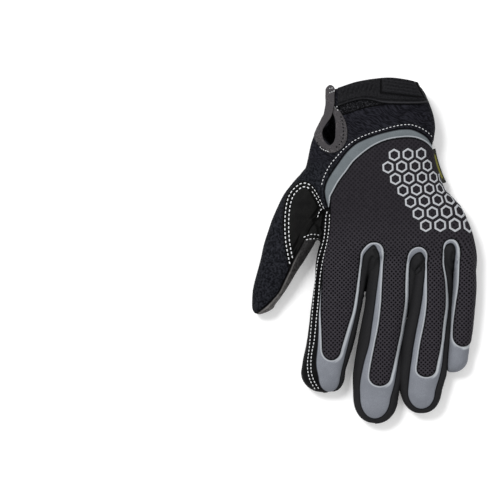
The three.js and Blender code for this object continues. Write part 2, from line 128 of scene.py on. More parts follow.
PALM_FORM = [
    Section(108, -45.5, 12, 35), Section(92, -46.8, 17.4, 36.5), Section(80, -48, 22.8, 37), Section(68, -50, 27, 37),
    Section(60, -55, 28.2, 36.5), Section(50, -58.4, 26.5, 35.5), Section(40, -60.6, 26.8, 34.5),
    Section(28, -64, 29.8, 33.6), Section(22, -63, 31.8, 33.3), Section(17, -61.1, 34, 33.1),
    Section(12, -59.2, 39.4, 33), Section(6, -56.8, 45.5, 32.7), Section(0.5, -54.7, 49, 32.5),
    Section(-5, -53.5, 50.2, 32.2), Section(-10.5, -52.5, 53.2, 32), Section(-16, -52.8, 54.3, 31.6),
    Section(-20, -53, 55.6, 31.3), Section(-27, -54, 56.8, 29.5), Section(-34, -55.5, 57, 25),
    Section(-41, -55.5, 56.5, 18.5), Section(-48, -54, 55.5, 11), Section(-54, -52, 53.5, 5),
]
FINGERS = [
    Finger(
        "index",
        form=[
            Section(2, -40, -28, 22, 4), Section(-20, -52, -19.3, 27), Section(-34, -55.2, -18.6, 26),
            Section(-48, -56, -20.8, 25.3), Section(-62, -58.3, -22.9, 24.5), Section(-90, -62.1, -29.2, 23),
            Section(-110, -65.8, -35, 21),
        ],
        tip=Spot(-49, -124.6, 9),
        mesh=[Edges(-34, -50.8, -25), Edges(-62, -52.2, -28.8), Edges(-78, -51.8, -33.2), Edges(-94, -51.3, -38)],
        mesh_end=-101.5,
        trim=[
            Edges(-34, -50.8, -23.1), Edges(-62, -53, -25.8), Edges(-90, -54.6, -32.5), Edges(-104, -55.6, -35.7),
            Edges(-114, -53.9, -38),
        ],
        trim_end=-124.5,
    ),
    Finger(
        "middle",
        form=[
            Section(2, -8, 6, 24, 4), Section(-20, -16.7, 13.6, 28.5), Section(-34, -16.2, 14, 27.5),
            Section(-62, -20.6, 10.5, 26), Section(-90, -25.5, 5.1, 25), Section(-112, -29.2, 2.8, 23.5),
            Section(-128, -28.7, 1.4, 21.5),
        ],
        tip=Spot(-13.8, -145.8, 9),
        mesh=[
            Edges(-34, -8.7, 7.4), Edges(-48, -9.4, 6.6), Edges(-62, -10.1, 6.3), Edges(-76, -11.7, 4.4),
            Edges(-90, -14.4, 1.7), Edges(-104, -17.1, -0.9), Edges(-113, -18.4, -3.3),
        ],
        mesh_end=-119.4,
        trim=[
            Edges(-34, -11.3, 10.2), Edges(-62, -14.6, 9.4), Edges(-76, -16.6, 7.9), Edges(-90, -18.7, 4.9),
            Edges(-104, -22.4, 2.5), Edges(-118, -25.1, -0.2), Edges(-128, -25, -3),
        ],
        trim_end=-143.2,
    ),
    Finger(
        "ring",
        form=[
            Section(2, 22, 32, 24, 4), Section(-20, 16.9, 36.7, 28), Section(-34, 16.4, 37.6, 27),
            Section(-62, 12.9, 38, 26), Section(-90, 7.5, 35.8, 24.5), Section(-108, 5.5, 34.4, 23),
            Section(-122, 5.1, 31.8, 21),
        ],
        tip=Spot(18.6, -138.3, 9),
        mesh=[
            Edges(-34, 21.8, 32.4), Edges(-48, 22, 34.6), Edges(-62, 21.8, 34.9), Edges(-76, 20, 33.4),
            Edges(-90, 17.2, 31.9), Edges(-108, 14.7, 28.3),
        ],
        mesh_end=-113.1,
        trim=[
            Edges(-34, 20.6, 34.3), Edges(-48, 19.3, 36.8), Edges(-62, 17.7, 37.6), Edges(-90, 12.6, 34.7),
            Edges(-106, 10.2, 33.1), Edges(-124, 8.6, 28.1),
        ],
        trim_end=-136.2,
    ),
    Finger(
        "little",
        form=[
            Section(8, 34, 38, 20, 8), Section(-22, 40, 55.6, 25), Section(-48, 40.6, 56.7, 23.5),
            Section(-76, 39, 54.8, 21.5), Section(-100, 36.2, 51.8, 18.5),
        ],
        tip=Spot(40.5, -110.4, 8),
        mesh=[
            Edges(-34, 44.8, 62), Edges(-48, 44.3, 62), Edges(-62, 42.5, 62), Edges(-76, 40.8, 59),
            Edges(-85, 40.3, 55),
        ],
        mesh_end=-92.1,
        trim=[Edges(-34, 40.9, 62), Edges(-48, 39.8, 62), Edges(-90, 37.2, 62), Edges(-114, 36.2, 62)],
        trim_end=-116,
    ),
]
THUMB_FORM = [
    Section(40, -56, -36, 24, 3), Section(25, -69.6, -38.5, 27), Section(14, -78.4, -42, 28),
    Section(2, -83.8, -46.5, 27.6), Section(-10, -88.2, -51, 27), Section(-20, -91.4, -55.6, 26),
    Section(-40, -95.9, -68.4, 24.3), Section(-50, -98.9, -74.4, 23), Section(-57, -99.9, -79.2, 21.5),
    Section(-63, -100.1, -83.8, 19.5),
]
THUMB_TIP = Spot(-96, -70, 9)
PALM_FULLNESS = 2.5  # exponent of the oval sections: 2 is an ellipse, more is boxier
DIGIT_FULLNESS = 2.3
TIP_TAPER = {"thumb": 1.3, "index": 0.75, "little": 0.6}  # how pointed a tip is, where it isn't 0.9
ROW_STEP = 1.5  # between the sections that are worked out from a table
ROUNDING = 3.0  # how far a table's corners are smoothed along the finger

# %% Lofting a tube through a table
def blurred(values, spread):
    """Evenly spaced values, smoothed over a spread of so many steps; a straight run stays straight."""
    reach = int(3 * spread)
    weights = np.exp(-0.5 * (np.arange(-reach, reach + 1) / spread) ** 2)
    padded = np.pad(values, reach, mode="reflect", reflect_type="odd")
    return np.convolve(padded, weights / weights.sum(), "valid")


def filled_rows(table):
    """Works out sections every ROW_STEP along Y and rounds off the table's corners."""
    rows = np.array(table, float)[::-1]
    count = int((rows[-1, 0] - rows[0, 0]) / ROW_STEP) + 1
    y = np.linspace(rows[0, 0], rows[-1, 0], count)
    columns = [blurred(np.interp(y, rows[:, 0], rows[:, i]), ROUNDING / ROW_STEP) for i in range(1, 5)]
    return np.column_stack([y, *columns])[::-1]


def rounded_tip(last, tip, taper, steps=11):
    """Sections that close a finger along a quarter round."""
    y, left, right, top, bottom = last
    rows = []
    for turn in np.linspace(0, math.pi / 2, steps + 1)[1:]:
        along, keep = math.sin(turn), max(math.cos(turn), 0.02) ** taper
        x = (left + right) / 2 + ((tip.x - (left + right) / 2) * along ** 2)
        z = (top + bottom) / 2 + ((tip.z - (top + bottom) / 2) * along ** 2)
        wide, high = (right - left) / 2 * keep, (top - bottom) / 2 * keep
        rows.append([y + (tip.y - y) * along, x - wide, x + wide, z + high, z - high])
    return np.array(rows)


def new_object(name, mesh):
    made = bpy.data.objects.new(name, mesh)
    bpy.context.collection.objects.link(made)
    return made


def lofted_tube(name, rows, sides, fullness):
    """A closed tube whose rings are ovals across Y, one for each row of y, left, right, top, bottom."""
    angles = np.linspace(0, 2 * math.pi, sides, endpoint=False)
    across = np.sign(np.cos(angles)) * np.abs(np.cos(angles)) ** (2 / fullness)
    up = np.sign(np.sin(angles)) * np.abs(np.sin(angles)) ** (2 / fullness)
    made = bmesh.new()
    rings = []
    for y, left, right, top, bottom in rows:
        xs = (left + right) / 2 + (right - left) / 2 * across
        zs = (top + bottom) / 2 + (top - bottom) / 2 * up
        rings.append([made.verts.new((x * MM, y * MM, z * MM)) for x, z in zip(xs, zs)])
    for here, there in zip(rings, rings[1:]):
        for i in range(sides):
            j = (i + 1) % sides
            made.faces.new((here[i], here[j], there[j], there[i]))
    made.faces.new(rings[0][::-1])
    made.faces.new(rings[-1])
    bmesh.ops.recalc_face_normals(made, faces=made.faces[:])
    mesh = bpy.data.meshes.new(name)
    made.to_mesh(mesh)
    made.free()
    return new_object(name, mesh)


def digit(name, table, tip):
    """The tube of one finger or of the thumb, with its tip."""
    rows = filled_rows(table)
    closing = rounded_tip(rows[-1], tip, TIP_TAPER.get(name, 0.9))
    return lofted_tube(name + "_form", np.vstack([rows, closing]), 48, DIGIT_FULLNESS)

# %% A tube for each finger
def select_only(*objects):
    bpy.ops.object.select_all(action="DESELECT")
    for piece in objects:
        piece.select_set(True)
    bpy.context.view_layer.objects.active = objects[0]


tubes = [lofted_tube("palm_form", filled_rows(PALM_FORM), 96, PALM_FULLNESS)]
tubes += [digit(finger.name, finger.form, finger.tip) for finger in FINGERS]
tubes.append(digit("thumb", THUMB_FORM, THUMB_TIP))
print("tubes:", [(tube.name, len(tube.data.vertices)) for tube in tubes])

# %% One skin over all the tubes
VOXEL = 0.85

select_only(*tubes)
bpy.ops.object.join()
form = bpy.context.object
form.name = "hand_form"
form.data.remesh_voxel_size = VOXEL * MM
form.data.use_remesh_fix_poles = False
bpy.ops.object.voxel_remesh()
relax = form.modifiers.new("relax", "SMOOTH")
relax.factor, relax.iterations = 0.5, 14
bpy.ops.object.modifier_apply(modifier="relax")
print("form faces:", len(form.data.polygons))


def points_of(mesh):
    """The mesh's points as an array, in millimetres."""
    flat = np.empty(len(mesh.vertices) * 3)
    mesh.vertices.foreach_get("co", flat)
    return flat.reshape(-1, 3) / MM


def move_points(mesh, points):
    mesh.vertices.foreach_set("co", (points * MM).ravel())
    mesh.update()


points = points_of(form.data)
points[:, 2] = np.maximum(points[:, 2], 0)
move_points(form.data, points)

# %% [markdown]
# ## Marking the panels
# Seen from above, each panel has an outline. The outlines are smooth lines through a few points, with an arch
# over each web between the fingers. For every point of the form the distance to an outline is worked out, positive
# inside. Where that distance is zero the cloth is cut.

# %% Lines in plan
def smooth_line(points, steps=6):
    """A Catmull-Rom line through the points."""
    given = np.array(points, float)
    ends = np.vstack([2 * given[0] - given[1], given, 2 * given[-1] - given[-2]])
    t = np.linspace(0, 1, steps, endpoint=False)[:, None]
    line = []
    for a, b, c, d in zip(ends, ends[1:], ends[2:], ends[3:]):
        line.append(0.5 * (2 * b + (c - a) * t + (2 * a - 5 * b + 4 * c - d) * t ** 2
                           + (3 * b - a - 3 * c + d) * t ** 3))
    return np.vstack(line + [given[-1:]])


def arch(from_x, to_x, y, rise, steps=16):
    """Half an ellipse from one X to another at the same Y, bulging towards +Y by rise."""
    turn = np.linspace(0, math.pi, steps)
    middle, half = (from_x + to_x) / 2, (to_x - from_x) / 2
    return np.column_stack([middle - half * np.cos(turn), y + rise * np.sin(turn)])


print("arch over a web of 10 mm:", arch(0, 10, 0, 4, 5).round(1).tolist())

# %% Where the seams run
WEBS = [
    {
        "mesh": [[-24.8, -30.6], [-24.5, -26.9], [-22.7, -23.6], [-18.9, -19.9], [-15.1, -19], [-11.4, -19.9],
                 [-8.9, -23.1], [-7.9, -27.4]],
        "trim": [[-22.6, -30.1], [-21.9, -27.9], [-18.9, -24.2], [-15.3, -21], [-13, -24.7], [-11.4, -29]],
    },
    {
        "mesh": [[7.9, -31.7], [8.2, -28.5], [9.6, -25.3], [12.3, -22.9], [16, -22], [19.2, -23.1], [21.6, -25.8],
                 [22.4, -29.6]],
        "trim": [[10.4, -32.6], [11, -31.2], [13.3, -27.9], [17.3, -26.1], [18.7, -27.9], [20.8, -31.2]],
    },
    {
        "mesh": [[32.7, -25.8], [32.9, -22], [34.3, -18.6], [38, -16.7], [41.8, -17.7], [44.3, -21.5], [45.2, -26.3]],
        "trim": [[33.8, -28.5], [33.7, -24.7], [35, -21.5], [38.6, -19.9], [40.7, -21.5], [41.5, -24.7], [41.2, -28.5]],
    },
]
INDEX_SIDE_SEAM = [[-45.8, 4.5], [-45.9, -4], [-46.6, -14], [-48.6, -22]]
PALM_EDGE = [[62, 0], [54, 14], [42, 30], [36, 40]]
BAND_LOWER = [
    [30, 41.5], [26, 46], [21.7, 49.8], [16.1, 52.6], [10.5, 53.7], [4.9, 53.6], [-6.3, 51.8], [-17.5, 46.7],
    [-28.7, 37.7], [-34.3, 30.3], [-39.9, 22.8], [-45.5, 12.6],
]
BAND_UPPER = [
    [33, 43], [26, 49.5], [21.7, 54.1], [16.1, 57.4], [10.5, 59.4], [4.9, 59.5], [-0.7, 58.8], [-11.9, 56.1],
    [-23.1, 51.8], [-28.7, 48.7], [-34.3, 43.6], [-39.9, 36.1], [-45.5, 28], [-48.6, 22], [-49.8, 16.5],
]
BAND_END = [[-49.4, 12.5], [-48.2, 7.8], [-46.9, 4.2]]
CUFF_RIM = [[-75, 84], [-47.6, 86.6], [-30, 90.4], [-7, 93.8], [8, 92.4], [20, 88.5], [50, 82]]
CUFF_SEAM_Y = 45
PALM_SEAM_HEIGHT = 8
THUMB_SEAM = [
    [-50.5, 4], [-54, -1.5], [-59.5, -8.5], [-63, -15.5], [-70.5, -29.5], [-74, -38], [-78, -47], [-82, -55],
    [-88.5, -62], [-97, -69], [-104, -74],
]
THUMB_CROTCH = [[-104, -90], [-70, -60], [-52, -17.5], [-51.6, -10], [-50, 3.6]]
PATCH_SIDE = [
    [-74.2, -38.6], [-76.3, -28], [-78, -17.5], [-78.4, -4.9], [-77.4, 6.3], [-74.9, 14.7], [-70.7, 20], [-65.8, 23.1],
    [-60.9, 22.8], [-56.7, 19.3], [-53.2, 13.3], [-50.6, 7.5], [-49.6, 5.2],
]
HOOK_FIELD_BOTTOM = [[18, 79], [-7, 76.5], [-21, 74.2], [-30, 71.4], [-39.5, 68.2]]
HOOK_FIELD_TOP = [[-39.5, 84], [10, 90]]
KEYHOLE = [
    [-44.9, 100], [-44.9, 68.4], [-47.0, 62.4], [-51.2, 58.2], [-49.6, 54.0], [-47.0, 50.8], [-44.3, 48.2],
    [-42.4, 51.9], [-42.2, 59.3], [-43.8, 68.4], [-43.8, 100],
]
THUMB_REGION = [[-51.6, -17], [-51.6, 27], [-130, 27], [-130, -90], [-72, -60], [-54, -20]]
print("length of the band's upper seam in mm:", round(float(sum(
    math.dist(here, there) for here, there in zip(BAND_UPPER, BAND_UPPER[1:])))))

# %% Outlines of the panels
def run_along(line):
    """How far along the line each of its points lies."""
    return np.concatenate([[0], np.cumsum(np.linalg.norm(np.diff(line, axis=0), axis=1))])


def rounded_off(line):
    """An open line at steps of 1 mm, with its corners rounded."""
    along = run_along(line)
    stops = np.arange(0, along[-1], 1.0)
    return np.column_stack([blurred(np.interp(stops, along, column), 1.0) for column in line.T])


def back_outline(layer):
    """The back of the hand with a tongue down each finger: the mesh, or the trim that rims it."""
    line = [smooth_line(INDEX_SIDE_SEAM)]
    for finger, web in zip(FINGERS, WEBS + [None]):
        rows = getattr(finger, layer)
        end = getattr(finger, layer + "_end")
        last = rows[-1]
        line.append(smooth_line([[row.left, row.y] for row in rows])[:-1])
        line.append(arch(last.left, last.right, last.y, end - last.y))
        line.append(smooth_line([[row.right, row.y] for row in rows[::-1]])[1:])
        if web:
            line.append(smooth_line(web[layer]))
    return np.vstack([rounded_off(np.vstack(line)), np.array(PALM_EDGE, float), smooth_line(BAND_LOWER)])


OUTLINES = {
    "mesh": back_outline("mesh"),
    "trim": back_outline("trim"),
    "band": np.vstack([smooth_line(BAND_UPPER), BAND_END, smooth_line(BAND_LOWER)[::-1]]),
    "glove": np.vstack([[[-140, -180], [120, -180], [120, 80]], smooth_line(CUFF_RIM)[::-1], [[-140, 84]]]),
    "thumb_side": np.vstack([smooth_line(THUMB_SEAM), THUMB_CROTCH]),
    "thumb_region": np.array(THUMB_REGION, float),
    "patch": np.vstack([smooth_line(PATCH_SIDE), smooth_line(THUMB_SEAM[:6])]),
    "hook": np.vstack([smooth_line(HOOK_FIELD_BOTTOM), np.array(HOOK_FIELD_TOP, float)]),
    "keyhole": np.array(KEYHOLE, float),
}


def centre_line(finger):
    rows = finger.form[1:]
    middle = [[(row.left + row.right) / 2, row.y] for row in rows]
    return np.array([[middle[0][0], -10], *middle, [finger.tip.x, -152]])


lines = [centre_line(finger) for finger in FINGERS]
for i, (left, right) in enumerate(zip(lines, lines[1:])):
    OUTLINES[f"fourchette_{FINGERS[i].name}_{FINGERS[i + 1].name}"] = np.vstack([left, right[::-1]])
print("outlines:", {name: len(line) for name, line in OUTLINES.items()})

# %% How far inside an outline a point lies
def distance_inside(points, outline):
    """How far each point lies inside a closed outline in plan, negative outside."""
    here, there = outline, np.roll(outline, -1, axis=0)
    keep = np.linalg.norm(there - here, axis=1) > 1e-6
    here, there = here[keep], there[keep]
    nearest = np.full(len(points), np.inf)
    crossings = np.zeros(len(points), int)
    x, y = points[:, 0], points[:, 1]
    for (ax, ay), (bx, by) in zip(here, there):
        dx, dy = bx - ax, by - ay
        t = np.clip(((x - ax) * dx + (y - ay) * dy) / (dx * dx + dy * dy), 0, 1)
        nearest = np.minimum(nearest, (x - ax - t * dx) ** 2 + (y - ay - t * dy) ** 2)
        if ay != by:
            spans = (ay > y) != (by > y)
            crossings += spans & (x < ax + (y - ay) * dx / dy)
    return np.where(crossings % 2 == 1, 1, -1) * np.sqrt(nearest)


print("the middle of the palm lies inside the mesh by:", distance_inside(np.zeros((1, 2)), OUTLINES["mesh"]).round(1))

# %% [markdown]
# ## Cutting the cloth
# A cut follows the line where a panel's distance is zero. Every mesh edge that the line crosses gets a new point
# there, and every face that it crosses is split between two such points. Points that lie very near the line are
# moved onto it first, so no slivers are left.

# %% The cutting helper
SNAP = 0.14  # share of an edge within which its end point moves onto the line


def measured(cloth, measure):
    """The measure at every point of a bmesh, by point index."""
    cloth.verts.ensure_lookup_table()
    cloth.verts.index_update()
    return measure(np.array([point.co[:] for point in cloth.verts]) / MM)


def cut_along(cloth, measure):
    """Cuts a bmesh along the line where measure is zero."""
    side = measured(cloth, measure)
    side[np.abs(side) < 1e-4] = 0
    on_line = set(np.nonzero(side == 0)[0].tolist())
    crossed = []
    for edge in cloth.edges:
        a, b = edge.verts
        if side[a.index] * side[b.index] < 0:
            crossed.append(edge)
    for edge in crossed:
        a, b = edge.verts
        if side[a.index] * side[b.index] >= 0:
            continue
        t = side[a.index] / (side[a.index] - side[b.index])
        for end, share in ((a, t), (b, 1 - t)):
            if share < SNAP:
                end.co = a.co.lerp(b.co, t)
                side[end.index] = 0
                on_line.add(end.index)
                break
    cuts = {cloth.verts[i] for i in on_line}
    for edge in crossed:
        a, b = edge.verts
        if side[a.index] * side[b.index] < 0:
            t = side[a.index] / (side[a.index] - side[b.index])
            _, point = bmesh.utils.edge_split(edge, a, t)
            cuts.add(point)
    for face in {face for point in cuts for face in point.link_faces}:
        corners = [point for point in face.verts if point in cuts]
        if len(corners) == 2 and not any(edge.other_vert(corners[0]) is corners[1] for edge in corners[0].link_edges):
            bmesh.utils.face_split(face, *corners)


def plan(name):
    return lambda points: distance_inside(points, OUTLINES[name])


cloth = bmesh.new()
cloth.from_mesh(form.data)
for name in OUTLINES:
    cut_along(cloth, plan(name))
cut_along(cloth, lambda points: points[:, 2] - PALM_SEAM_HEIGHT)
cut_along(cloth, lambda points: points[:, 1] - CUFF_SEAM_Y)
print("cut faces:", len(cloth.faces))

# %% [markdown]
# ## Sorting the pieces
# Each face now lies wholly in one panel. Its middle tells which: it is tried against the outlines from the top layer
# down. What is left on the back between the fingers belongs to the stretch strips and to the index finger's side.

# %% Which face belongs to which panel
middles = np.array([face.calc_center_median()[:] for face in cloth.faces]) / MM
inside = {name: distance_inside(middles, line) > 0 for name, line in OUTLINES.items()}
upper = middles[:, 2] > PALM_SEAM_HEIGHT
lower = ~upper
index_middle = np.interp(middles[:, 1], lines[0][::-1, 1], lines[0][::-1, 0])
by_index = (middles[:, 0] < index_middle) & ((middles[:, 0] > -51.8) & (middles[:, 1] < 4)
                                             | (middles[:, 1] < -17) & ~inside["thumb_region"])
panel_of = np.full(len(middles), "cuff", dtype="U30")
panel_of[lower & (middles[:, 1] < CUFF_SEAM_Y)] = "palm_panel"
panel_of[lower & inside["thumb_region"]] = "thumb_palm"
panel_of[upper & by_index] = "index_side_panel"
STRIPS = [name for name in OUTLINES if name.startswith("fourchette")]
for name in STRIPS:
    panel_of[upper & inside[name]] = name
panel_of[upper & inside["thumb_side"]] = "thumb_side"
panel_of[upper & inside["trim"]] = "finger_trim"
panel_of[upper & inside["mesh"]] = "back_panel"
panel_of[upper & inside["band"]] = "wrist_band"
panel_of[~inside["glove"] | upper & inside["keyhole"]] = "waste"
print("faces:", {str(name): int((panel_of == name).sum()) for name in np.unique(panel_of)})

# %% [markdown]
# The strips and the index finger's side meet at the fingertips without a seam, so they are one group. For every
# point the distance to the nearest seam of its group is kept. It drives the loft of the cloth and the painted shade and
# highlights along its edges.

# %% Distance to the nearest seam
cloth.verts.index_update()
cloth.faces.index_update()
cloth.normal_update()
cloth_points = np.array([point.co[:] for point in cloth.verts]) / MM
cloth_normals = np.array([point.normal[:] for point in cloth.verts])
cloth_faces = [[point.index for point in face.verts] for face in cloth.faces]
group_of = np.where(np.isin(panel_of, STRIPS + ["index_side_panel"]), "strips", panel_of)
rims = {}
for edge in cloth.edges:
    groups = {str(group_of[face.index]) for face in edge.link_faces}
    if len(groups) > 1:
        for group in groups:
            rims.setdefault(group, set()).update(point.index for point in edge.verts)
cloth.free()


def nearest_distance(points, targets):
    tree = kdtree.KDTree(len(targets))
    for i, target in enumerate(targets):
        tree.insert(target, i)
    tree.balance()
    return np.array([tree.find(point)[2] for point in points])


def faces_where(mask):
    """The chosen faces and the points that they use, in the order of the whole cloth."""
    faces = [cloth_faces[i] for i in np.nonzero(mask)[0]]
    used = np.unique(np.concatenate([np.array(face) for face in faces]))
    return faces, used


seam = {}
for group in rims:
    faces, used = faces_where(group_of == group)
    away = np.full(len(cloth_points), 0.0)
    away[used] = nearest_distance(cloth_points[used], cloth_points[sorted(rims[group])])
    seam[group] = away
print("seam points:", {group: len(found) for group, found in rims.items()})

# %% [markdown]
# ## Relief
# Real cloth is never quite even. A slow noise gives the whole glove shallow dents, and a few creases run where the
# stretch strips fold at the webs.

# %% Dents and creases
CREASES = [
    [[-16.2, -29.4], [-17.6, -32.9], [-18.5, -40.2], [-19.8, -46.5], [-21.2, -54.6]],
    [[-14.9, -24.9], [-12.7, -27.2]],
    [[18.7, -32.2], [15.5, -36.0], [13.9, -41.3]],
    [[39.1, -26.3], [38.6, -30.6], [40.2, -32.9]],
    [[-57.0, -3.5], [-54.0, -7.5], [-51.9, -13.0]],
]
CREASE_WIDTH, CREASE_DEPTH = 0.9, 1.3
DENTS = [(19.0, 0.55), (7.0, 0.16)]  # size and height


def distance_to_line(points, line):
    nearest = np.full(len(points), np.inf)
    for start, end in zip(line, line[1:]):
        run = end - start
        t = np.clip((points[:, :2] - start) @ run / (run @ run), 0, 1)
        nearest = np.minimum(nearest, np.linalg.norm(points[:, :2] - start - t[:, None] * run, axis=1))
    return nearest


relief = np.zeros(len(cloth_points))
for size, height in DENTS:
    relief += height * np.array([noise.noise(Vector(point) / size) for point in cloth_points])
for crease in CREASES:
    away = distance_to_line(cloth_points, smooth_line(crease))
    fold = np.exp(-(away / CREASE_WIDTH) ** 2) - 0.45 * np.exp(-((away - 2.2) / 1.1) ** 2)
    relief -= np.where(cloth_points[:, 2] > 12, CREASE_DEPTH * fold, 0)
cloth_points += cloth_normals * relief[:, None]
print("relief in mm:", relief.min().round(2), relief.max().round(2))

# %% [markdown]
# ## Lofting the panels
# A panel is pinched at its seams and full in its middle. The table says how high its edge and its middle lie over
# the form, how far from the seam it is full, how thick its wall is, and where stitch rows pull it down.

# %% The loft table
Loft = namedtuple("Loft", "edge puff reach wall slot look rows", defaults=[()])
PANELS = {
    "back_panel": Loft(0.25, 0.55, 0.9, 1.5, "mesh_cloth", "mesh_cloth"),
    "finger_trim": Loft(-0.4, 0.45, 1.0, 1.3, "grey_trim", "grey_trim"),
    "wrist_band": Loft(-0.4, 0.5, 1.2, 1.3, "grey_trim", "grey_band"),
    "index_side_panel": Loft(-0.5, 0.6, 1.2, 1.4, "palm_leather", "index_leather"),
    "thumb_side": Loft(-0.6, 0.5, 1.6, 1.4, "palm_leather", "thumb_strip"),
    "thumb_palm": Loft(-0.5, 0.4, 1.6, 1.4, "palm_leather", "palm_leather"),
    "palm_panel": Loft(-0.5, 0.4, 1.6, 1.4, "palm_leather", "palm_leather"),
    "cuff": Loft(-0.35, 0.6, 1.6, 1.8, "cuff_cloth", "cuff_cloth", (1.9,)),
    "fourchette_index_middle": Loft(-0.6, 1.2, 1.6, 1.2, "stretch_cloth", "stretch_cloth"),
    "fourchette_middle_ring": Loft(-0.6, 1.7, 1.6, 1.2, "stretch_cloth", "stretch_cloth"),
    "fourchette_ring_little": Loft(-0.6, 1.7, 1.6, 1.2, "stretch_cloth", "stretch_cloth"),
    "thumb_patch": Loft(0.9, 0.45, 0.8, 0.9, "palm_leather", "patch_leather", (1.3, 3.9)),
    "hook_field": Loft(0.75, 0.35, 0.8, 0.8, "hook_pile", "hook_pile"),
}
ROW_DEPTH, ROW_WIDTH = 0.28, 0.55
PRESSED, PRESSED_FROM, PRESSED_TO = 1.8, -126, -112  # the three outer fingers lean on each other above here
ALSO_REPLACED = {"cuff": ["thumb_back"]}
masks = {name: panel_of == name for name in PANELS}
masks["thumb_patch"] = masks["cuff"] & upper & inside["patch"]
masks["hook_field"] = masks["cuff"] & upper & inside["hook"]

# %% Lofting
def keep_measure(mesh, name, values):
    """Stores one number for each point, for the materials."""
    mesh.attributes.new(name, "FLOAT", "POINT").data.foreach_set("value", values.astype(np.float32))


def lofted_panel(name, loft, mask):
    faces, used = faces_where(mask)
    place = np.zeros(len(cloth_points), int)
    place[used] = np.arange(len(used))
    group = str(group_of[np.nonzero(mask)[0][0]])
    away = seam[group][used]
    if name in ("thumb_patch", "hook_field"):
        outline = OUTLINES["patch" if name == "thumb_patch" else "hook"]
        away = np.maximum(distance_inside(cloth_points[used], outline), 0)
    full = 1 - np.exp(-(away / loft.reach) ** 1.5)
    rise = loft.edge + loft.puff * full
    if name in STRIPS[1:]:
        rise += PRESSED * full * np.interp(cloth_points[used, 1], [PRESSED_FROM, PRESSED_TO], [0, 1])
    for row in loft.rows:
        rise -= ROW_DEPTH * np.exp(-((away - row) / ROW_WIDTH) ** 2)
    points = cloth_points[used] + cloth_normals[used] * rise[:, None]
    points[:, 2] = np.maximum(points[:, 2], 0)
    mesh = bpy.data.meshes.new(name)
    mesh.from_pydata(points * MM, [], [[int(place[i]) for i in face] for face in faces])
    keep_measure(mesh, "seam", away)
    keep_measure(mesh, "mesh_line", np.clip(distance_inside(cloth_points[used], OUTLINES["mesh"]), -9, 9))
    panel = new_object(name + "_cloth", mesh)
    select_only(panel)
    bpy.ops.object.shade_smooth()
    return panel


panels = {name: lofted_panel(name, loft, masks[name]) for name, loft in PANELS.items()}
print("panel points:", {name: len(panel.data.vertices) for name, panel in panels.items()})

# %% [markdown]
# The mesh fabric's weave must not stretch on the flanks. Its panel is unwrapped, and the flat pattern is then turned
# and scaled onto the plan, so one unit of its UV map is one millimetre.

# %% Unwrapping the mesh fabric
def unwrap_in_mm(panel):
    mesh = panel.data
    mesh.uv_layers.new(name="pattern")
    select_only(panel)
    bpy.ops.object.mode_set(mode="EDIT")
    bpy.ops.mesh.select_all(action="SELECT")
    bpy.ops.uv.unwrap(method="CONFORMAL", margin=0.001)
    bpy.ops.object.mode_set(mode="OBJECT")
    flat = np.empty(len(mesh.loops) * 2)
    mesh.uv_layers["pattern"].data.foreach_get("uv", flat)
    corner = np.empty(len(mesh.loops), int)
    mesh.loops.foreach_get("vertex_index", corner)
    target = points_of(mesh)[corner]
    target = target[:, 0] + 1j * target[:, 1]
    best = None
    for given in (flat[0::2] + 1j * flat[1::2], flat[0::2] - 1j * flat[1::2]):
        system = np.column_stack([given, np.ones(len(given))])
        fit, *_ = np.linalg.lstsq(system, target, rcond=None)
        placed = system @ fit
        error = np.abs(placed - target).mean()
        if best is None or error < best[0]:
            best = (error, placed)
    flat[0::2], flat[1::2] = best[1].real, best[1].imag
    mesh.uv_layers["pattern"].data.foreach_set("uv", flat)
    print("mean shift of the pattern from the plan in mm:", round(float(best[0]), 2))


unwrap_in_mm(panels["back_panel"])

# %% From the flat pattern to the glove
def flat_triangles(panel):
    """The panel's triangles laid flat, a search tree over them, and the same triangles on the glove, in mm."""
    mesh = panel.data
    mesh.calc_loop_triangles()
    pattern = mesh.uv_layers["pattern"].data
    flat = [[Vector((*pattern[i].uv, 0)) for i in triangle.loops] for triangle in mesh.loop_triangles]
    worn = [[mesh.vertices[i].co / MM for i in triangle.vertices] for triangle in mesh.loop_triangles]
    corners = [corner for triangle in flat for corner in triangle]
    tree = BVHTree.FromPolygons(corners, [range(3 * i, 3 * i + 3) for i in range(len(flat))])
    return tree, flat, worn


flat_tree, flat_cloth, worn_cloth = flat_triangles(panels["back_panel"])


def from_pattern(u, v, height):
    """The place over the glove of a spot of the flat pattern, or None beside it."""
    hit, _, index, _ = flat_tree.ray_cast(Vector((u, v, 1)), Vector((0, 0, -1)))
    if hit is None:
        return None
    a, b, c = worn_cloth[index]
    return barycentric_transform(hit, *flat_cloth[index], a, b, c) + (b - a).cross(c - a).normalized() * height


print("triangles of the mesh fabric:", len(flat_cloth))

# %% Thickness
def thicken(piece, thickness):
    """Gives a sheet its thickness, downwards from its face."""
    select_only(piece)
    wall = piece.modifiers.new("wall", "SOLIDIFY")
    wall.thickness, wall.offset = thickness * MM, -1
    bpy.ops.object.modifier_apply(modifier="wall")


for name, loft in PANELS.items():
    panel = panels[name]
    thicken(panel, loft.wall)
    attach(panel, "root")
    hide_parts(name, *ALSO_REPLACED.get(name, []))
print("walls in mm:", {name: loft.wall for name, loft in PANELS.items()})

# %% [markdown]
# ## Laying trims on the glove
# Trims and stitches are laid on by dropping points straight down onto the surface.

# %% Finding the surface below a point
def tree_of(*pieces):
    """A search tree over the triangles of several pieces."""
    points, faces = [], []
    for piece in pieces:
        start = len(points)
        points += [vertex.co[:] for vertex in piece.data.vertices]
        faces += [[start + i for i in polygon.vertices] for polygon in piece.data.polygons]
    return BVHTree.FromPolygons(points, faces)


form_surface = tree_of(form)


